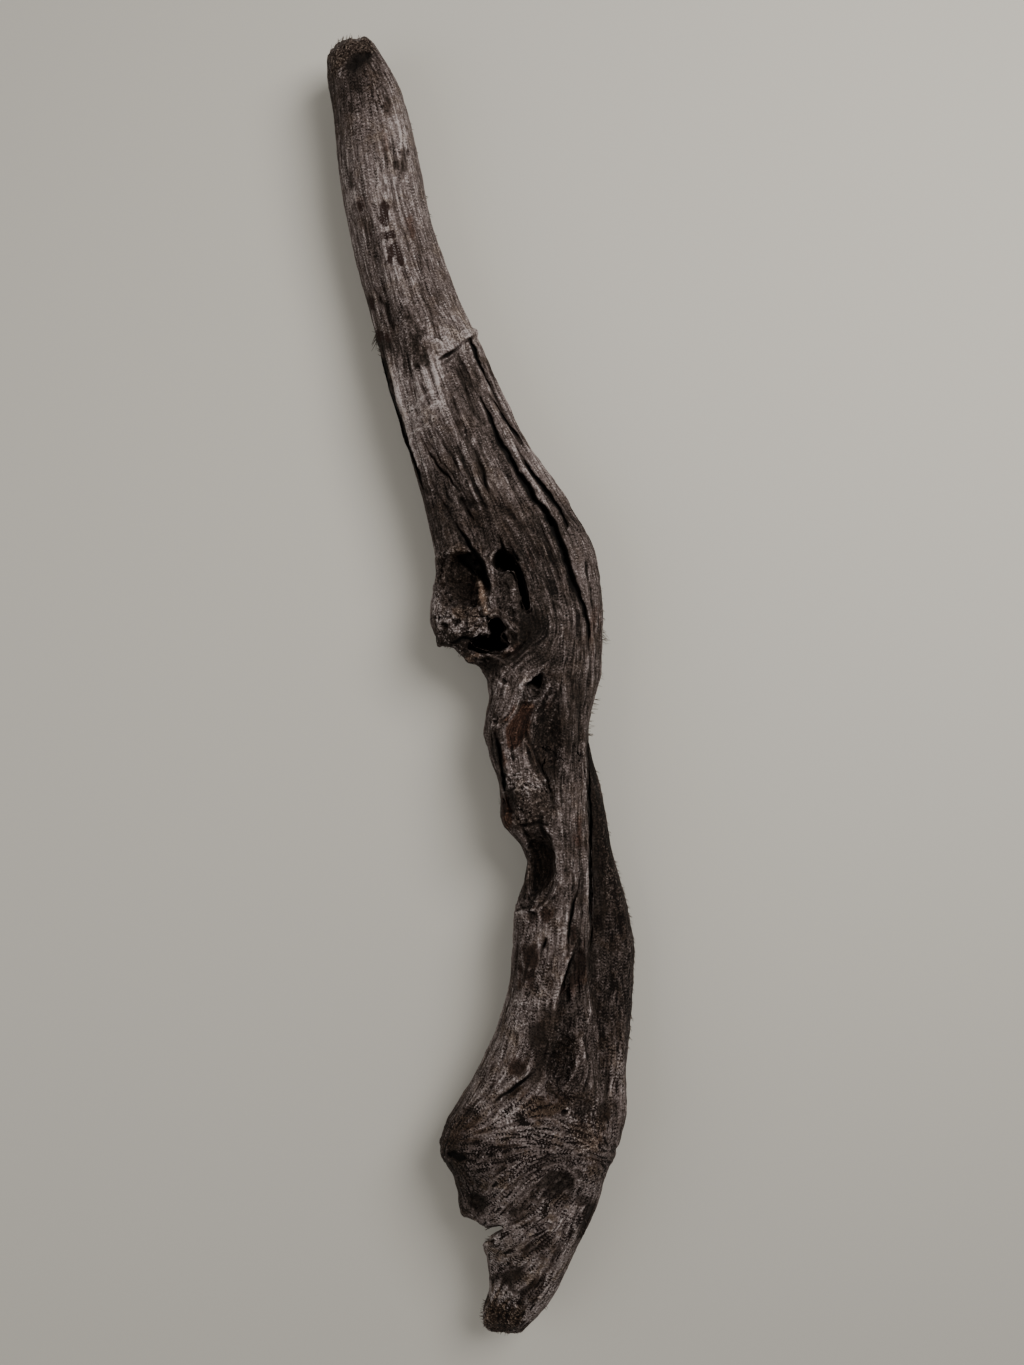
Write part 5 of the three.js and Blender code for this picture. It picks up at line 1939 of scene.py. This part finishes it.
@dataclass(frozen=True)
class WeatheredWood:
    """The finish of old driftwood: silver and painted highlight on what stands out, brown and painted
    shade in the grooves, dark where it rots.
    """

    name: str
    stops: tuple[Stop, ...] = (
        (0.0, (0.0040, 0.0026, 0.0018)),
        (0.2, (0.0125, 0.0087, 0.0064)),
        (0.42, (0.0368, 0.0266, 0.0213)),
        (0.66, (0.0900, 0.0670, 0.0600)),
        (0.88, (0.1950, 0.1570, 0.1440)),
        (1.0, (0.3600, 0.3100, 0.2900)),
    )
    rusty: tuple[Stop, ...] = (
        (0.0, (0.0050, 0.0020, 0.0012)),
        (0.3, (0.0220, 0.0080, 0.0040)),
        (0.6, (0.0560, 0.0235, 0.0125)),
        (0.85, (0.1100, 0.0520, 0.0280)),
        (1.0, (0.2200, 0.1150, 0.0650)),
    )
    earthy: tuple[Stop, ...] = (
        (0.0, (0.0040, 0.0024, 0.0014)),
        (0.3, (0.0160, 0.0090, 0.0050)),
        (0.6, (0.0435, 0.0275, 0.0175)),
        (0.85, (0.1050, 0.0730, 0.0500)),
        (1.0, (0.2400, 0.1750, 0.1250)),
    )
    tawny: tuple[Stop, ...] = (
        (0.0, (0.0200, 0.0110, 0.0070)),
        (0.35, (0.0750, 0.0440, 0.0290)),
        (0.65, (0.1700, 0.1100, 0.0780)),
        (1.0, (0.3800, 0.2900, 0.2300)),
    )
    stained: Colour = (0.0175, 0.0085, 0.0062, 1.0)
    black: Colour = (0.0030, 0.0022, 0.0016, 1.0)
    roughness: float = 0.86
    contrast: float = 3.2
    fine: Strand = Strand(1.9, 6.5, 5)
    coarse: Strand = Strand(3.8, 24.0, 7)
    dark_fleck: Strand = Strand(2.6, 12.0, 5)
    pale_fleck: Strand = Strand(2.3, 11.0, 5)
    flake: Strand = Strand(3.3, 6.5, 3)

    def material(self) -> bpy.types.Material:
        """Makes the material.

        Returns:
            The material.
        """
        shader = Shader(self.name)
        place = shader.node("ShaderNodeTexCoord").outputs["Object"]
        grain = shader.node("ShaderNodeAttribute", {"attribute_name": "grain"}).outputs["Vector"]
        fine = shader.fibres(place, grain, self.fine, self.contrast)
        coarse = shader.fibres(place, grain, self.coarse, self.contrast)
        dark = shader.flecks(place, grain, self.dark_fleck, 1.0)
        light = shader.flecks(place, grain, self.pale_fleck, -1.0)
        flake = shader.flecks(place, grain, self.flake, 1.0)
        speck = shader.noise(place, 2.0, 2.0, 0.75) - 0.5
        mottle = shader.noise(place, 7.0, 3.0, 0.6) - 0.5
        blotch = shader.noise(place, 24.0, 5.0, 0.65) - 0.5
        relief = shader.mask("relief")
        swell = shader.mask("swell")
        rough = shader.mask("rough")
        crinkle = shader.mask("crinkle")
        shade = shader.mask("shade")
        crest = shader.mask("crest")
        # Fibres and flecks are faint on rough and crinkled wood, and on crinkled wood there are flakes.
        combed = (1.0 - rough) * (1.0 - crinkle * 0.82)
        plain = (1.0 - rough * 0.4) * (1.0 - crinkle * 0.7)
        dark_flecks = (dark + blotch * 0.35 - relief * 0.02).rise(0.145, 0.19) * plain
        pale_flecks = (light - blotch * 0.2 + relief * 0.02).rise(0.145, 0.20) * plain
        flakes = (flake + blotch * 0.3).rise(0.09, 0.12) * crinkle
        # The tone runs from the dark of the rot and the grooves to the silver of what stands out. Relief,
        # swell and crests lighten what stands out and darken the grooves, partly as the wood's silvering
        # and partly as painted highlight and shade. The dark mask holds dark stains and painted shade, and
        # the shade mask holds painted shade in cracks, pits and hollows.
        dark_and_shade = shader.mask("dark")
        low = 1.0 - shader.mask("tone") * (1.0 - dark_and_shade * 0.7)
        grit = (fine * 0.50 + coarse * 0.18) * combed + mottle * 0.28
        grit = (grit + speck * (rough * 1.1 + crinkle * 0.3 + 0.8)) * (1.0 + low * low * 1.1)
        tone = shader.mask("tone") * 0.88 + grit + blotch * (0.34 - crinkle * 0.14)
        tone = tone + relief * 0.14 + swell * 0.10 - dark_flecks * 0.36 - flakes * 0.68 + pale_flecks * 0.32
        tone = tone + crinkle * 0.11 + rough * speck.rise(0.04, 0.14) * 0.24
        tone = tone + crest * (speck * 0.6 + 0.32) + shader.mask("pale") * 0.20
        tone = (tone - shader.mask("checks") * 0.22) * (1.0 - dark_and_shade * 0.74) * (1.0 - shade * 0.74)
        colour = shader.ramp(tone, self.stops)
        # Soil, rust, tan, brown and stains lie over the silver, though some brown is painted shade, and
        # the deepest painted shade is black.
        soil = shader.noise(place, 20.0, 5.0, 0.7).rise(0.48, 0.64) * (crinkle * 0.3 + 0.5)
        colour = shader.mix(soil, colour, shader.ramp(tone - 0.03, self.earthy))
        rust = shader.mask("rust").math("MAXIMUM", shader.mask("rust"), flakes * 0.35)
        colour = shader.mix(rust, colour, shader.ramp(tone - 0.12, self.rusty))
        colour = shader.mix(shader.mask("tan"), colour, shader.ramp(tone + 0.20, self.tawny))
        colour = shader.mix(shader.mask("brown"), colour, shader.ramp(tone - 0.16, self.earthy))
        stain = shader.mask("stain").rise(0.1, 0.7) * (0.95 - pale_flecks * 0.45 + speck * 1.1)
        colour = shader.mix(stain, colour, self.stained)
        colour = shader.mix(shade.rise(0.65, 1.0) * 0.92, colour, self.black)
        height = fine * 0.45 + coarse * 0.42 + speck * (rough * 0.8 + 0.7)
        height = height - dark_flecks * 0.6 - flakes * 0.7 + pale_flecks * 0.2
        return shader.finish(colour, self.roughness, height)


@dataclass(frozen=True)
class PlainPaint:
    """A plain finish of one colour, for the floor and the torn fibres."""

    name: str
    colour: Colour
    roughness: float = 0.9

    def material(self) -> bpy.types.Material:
        """Makes the material."""
        return Shader(self.name).finish(self.colour, self.roughness)


@dataclass
class FrayedFibres:
    """The thin torn fibres that stand off the wood's outline, one mesh for each part."""

    surface: WoodSurface
    width: float = 0.42
    tip: float = 0.3
    bends: int = 4
    rooted: float = 1.0
    spread: float = 28.0
    margin: float = 12.0
    most_front: float = 0.55
    outwards: float = 0.35
    colour: Colour = (0.085, 0.060, 0.047, 1.0)
    seed: int = 83

    def blade(self, length: float, width: float, bow: float) -> bmesh.types.BMesh:
        """One tapering fibre that stands on its end and bows to one side.

        Args:
            length: Its length in millimetres.
            width: Its width at the foot in millimetres.
            bow: How far its tip bows, as a share of its length.

        Returns:
            The fibre's mesh.
        """
        half = 0.5 * length * MM
        blade = bmesh.new()
        bmesh.ops.create_cone(
            blade,
            cap_ends=True,
            segments=3,
            radius1=width * MM,
            radius2=self.tip * width * MM,
            depth=length * MM,
            matrix=Matrix.Translation((0.0, 0.0, half)),
        )
        tall = [edge for edge in blade.edges if abs(edge.verts[0].co.z - edge.verts[1].co.z) > half]
        bmesh.ops.subdivide_edges(blade, edges=tall, cuts=self.bends)
        for vert in blade.verts:
            share = vert.co.z / (length * MM)
            vert.co.x += bow * length * MM * share * share
        return blade

    def grown(self, fringe: Fringe, chance: random.Random, mesh: bpy.types.Mesh) -> None:
        """Adds a fringe's fibres to a mesh, each rooted on the wood's outline.

        Args:
            fringe: The fringe.
            chance: Where the random numbers come from.
            mesh: The mesh that the fibres are added to.
        """
        LOG.debug("%s", fringe.name)
        surface = self.surface
        rows = surface.near(fringe.path, self.margin)
        rows = rows[np.abs(surface.front[rows]) < self.most_front]
        spans = list(zip(fringe.path, fringe.path[1:]))
        fibres = bmesh.new()
        fibres.from_mesh(mesh)
        for _ in range(fringe.count):
            start, end = chance.choice(spans)
            share = chance.random()
            x = start[0] + share * (end[0] - start[0])
            y = start[1] + share * (end[1] - start[1])
            row = rows[np.argmin(np.hypot(surface.x[rows] - x, surface.y[rows] - y))]
            turn = math.radians(fringe.turn + chance.uniform(-self.spread, self.spread))
            heading = Vector((math.cos(turn), -math.sin(turn), chance.uniform(-0.3, 0.4)))
            heading = (heading + self.outwards * Vector(surface.normals[row])).normalized()
            length = fringe.length * chance.uniform(0.5, 1.4) + self.rooted
            width = self.width * chance.uniform(0.6, 1.3)
            blade = self.blade(length, width, chance.uniform(-0.35, 0.35))
            foot = (Vector(surface.points[row]) - heading * self.rooted) * MM
            spin = Matrix.Rotation(chance.uniform(0.0, 2.0 * math.pi), 4, "Z")
            stand = heading.to_track_quat("Z", "Y").to_matrix().to_4x4()
            blade.transform(Matrix.Translation(foot) @ stand @ spin)
            single = bpy.data.meshes.new("fibre")
            blade.to_mesh(single)
            blade.free()
            fibres.from_mesh(single)
            bpy.data.meshes.remove(single)
        fibres.to_mesh(mesh)
        fibres.free()

    def build(self, slots: dict[str, str]) -> list[bpy.types.Object]:
        """Makes the fibres of every part.

        Args:
            slots: The slot of each node.

        Returns:
            The pieces.
        """
        chance = random.Random(self.seed)
        pieces = []
        for node, slot in slots.items():
            mesh = bpy.data.meshes.new(f"frayed_{node}")
            for fringe in FRINGES:
                if fringe.node == node:
                    self.grown(fringe, chance, mesh)
            mesh.shade_smooth()
            mesh.materials.append(PlainPaint(f"fibre_{slot}", self.colour).material())
            piece = linked(f"frayed_{node}", mesh)
            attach(piece, BODY)
            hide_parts(node)
            pieces.append(piece)
        return pieces


@dataclass(frozen=True)
class Lamp:
    """A soft square lamp: its name, its place and its side in metres, and its power in watts."""

    name: str
    place: tuple[float, float, float]
    side: float
    power: float


@dataclass
class Studio:
    """The floor, the lights and the camera."""

    floor_half: float = 6.0
    lens: float = 27.03
    sensor: float = 36.0
    world_colour: Colour = (1.0, 0.985, 0.96, 1.0)
    world_strength: float = 0.32
    floor_colour: Colour = (0.52, 0.49, 0.43, 1.0)
    lit_spot: tuple[float, float, float] = (0.0, 0.0, 0.05)
    lamps: tuple[Lamp, ...] = (
        Lamp("key_light", (0.9, 0.75, 1.5), 1.0, 34.0),
        Lamp("fill_light", (-1.3, -0.2, 1.4), 1.4, 9.0),
    )

    def build(self) -> None:
        """Makes the camera, the floor and the lights."""
        self.camera()
        self.floor()
        for lamp in self.lamps:
            self.light(lamp)
        world = bpy.data.worlds.new("studio")
        world.use_nodes = True
        background = world.node_tree.nodes["Background"]
        background.inputs["Color"].default_value = self.world_colour
        background.inputs["Strength"].default_value = self.world_strength
        bpy.context.scene.world = world

    def camera(self) -> None:
        """Makes the camera straight above, at the eye of the plan."""
        data = bpy.data.cameras.new("camera")
        data.lens = self.lens
        data.sensor_width = self.sensor
        camera = linked("camera", data)
        camera.location = Vector(PLAN.eye) * MM
        bpy.context.scene.camera = camera

    def floor(self) -> None:
        """Makes the plain floor."""
        flat = bmesh.new()
        bmesh.ops.create_grid(flat, x_segments=1, y_segments=1, size=self.floor_half)
        mesh = bpy.data.meshes.new("floor")
        flat.to_mesh(mesh)
        flat.free()
        mesh.materials.append(PlainPaint("floor_paint", self.floor_colour).material())
        floor = linked("floor", mesh)

    def light(self, lamp: Lamp) -> None:
        """Makes a lamp that shines on the middle of the wood.

        Args:
            lamp: The lamp.
        """
        data = bpy.data.lights.new(lamp.name, "AREA")
        data.size = lamp.side
        data.energy = lamp.power
        light = linked(lamp.name, data)
        towards = Vector(self.lit_spot) - Vector(lamp.place)
        turn = towards.to_track_quat("-Z", "Y").to_matrix().to_4x4()
        light.matrix_world = Matrix.Translation(Vector(lamp.place)) @ turn


def write_sizes() -> None:
    """Updates the view layer."""
    bpy.context.view_layer.update()


def main() -> None:
    """Builds the studio and the wood, and reports each piece."""
    logging.basicConfig(level=logging.INFO, format="%(name)s: %(message)s")
    Studio().build()
    for piece in Driftwood(frame["nodes"]).build():
        LOG.info("%s: %d triangles", piece.name, triangles(piece.data))
    write_sizes()


if __name__ == "__main__":
    main()
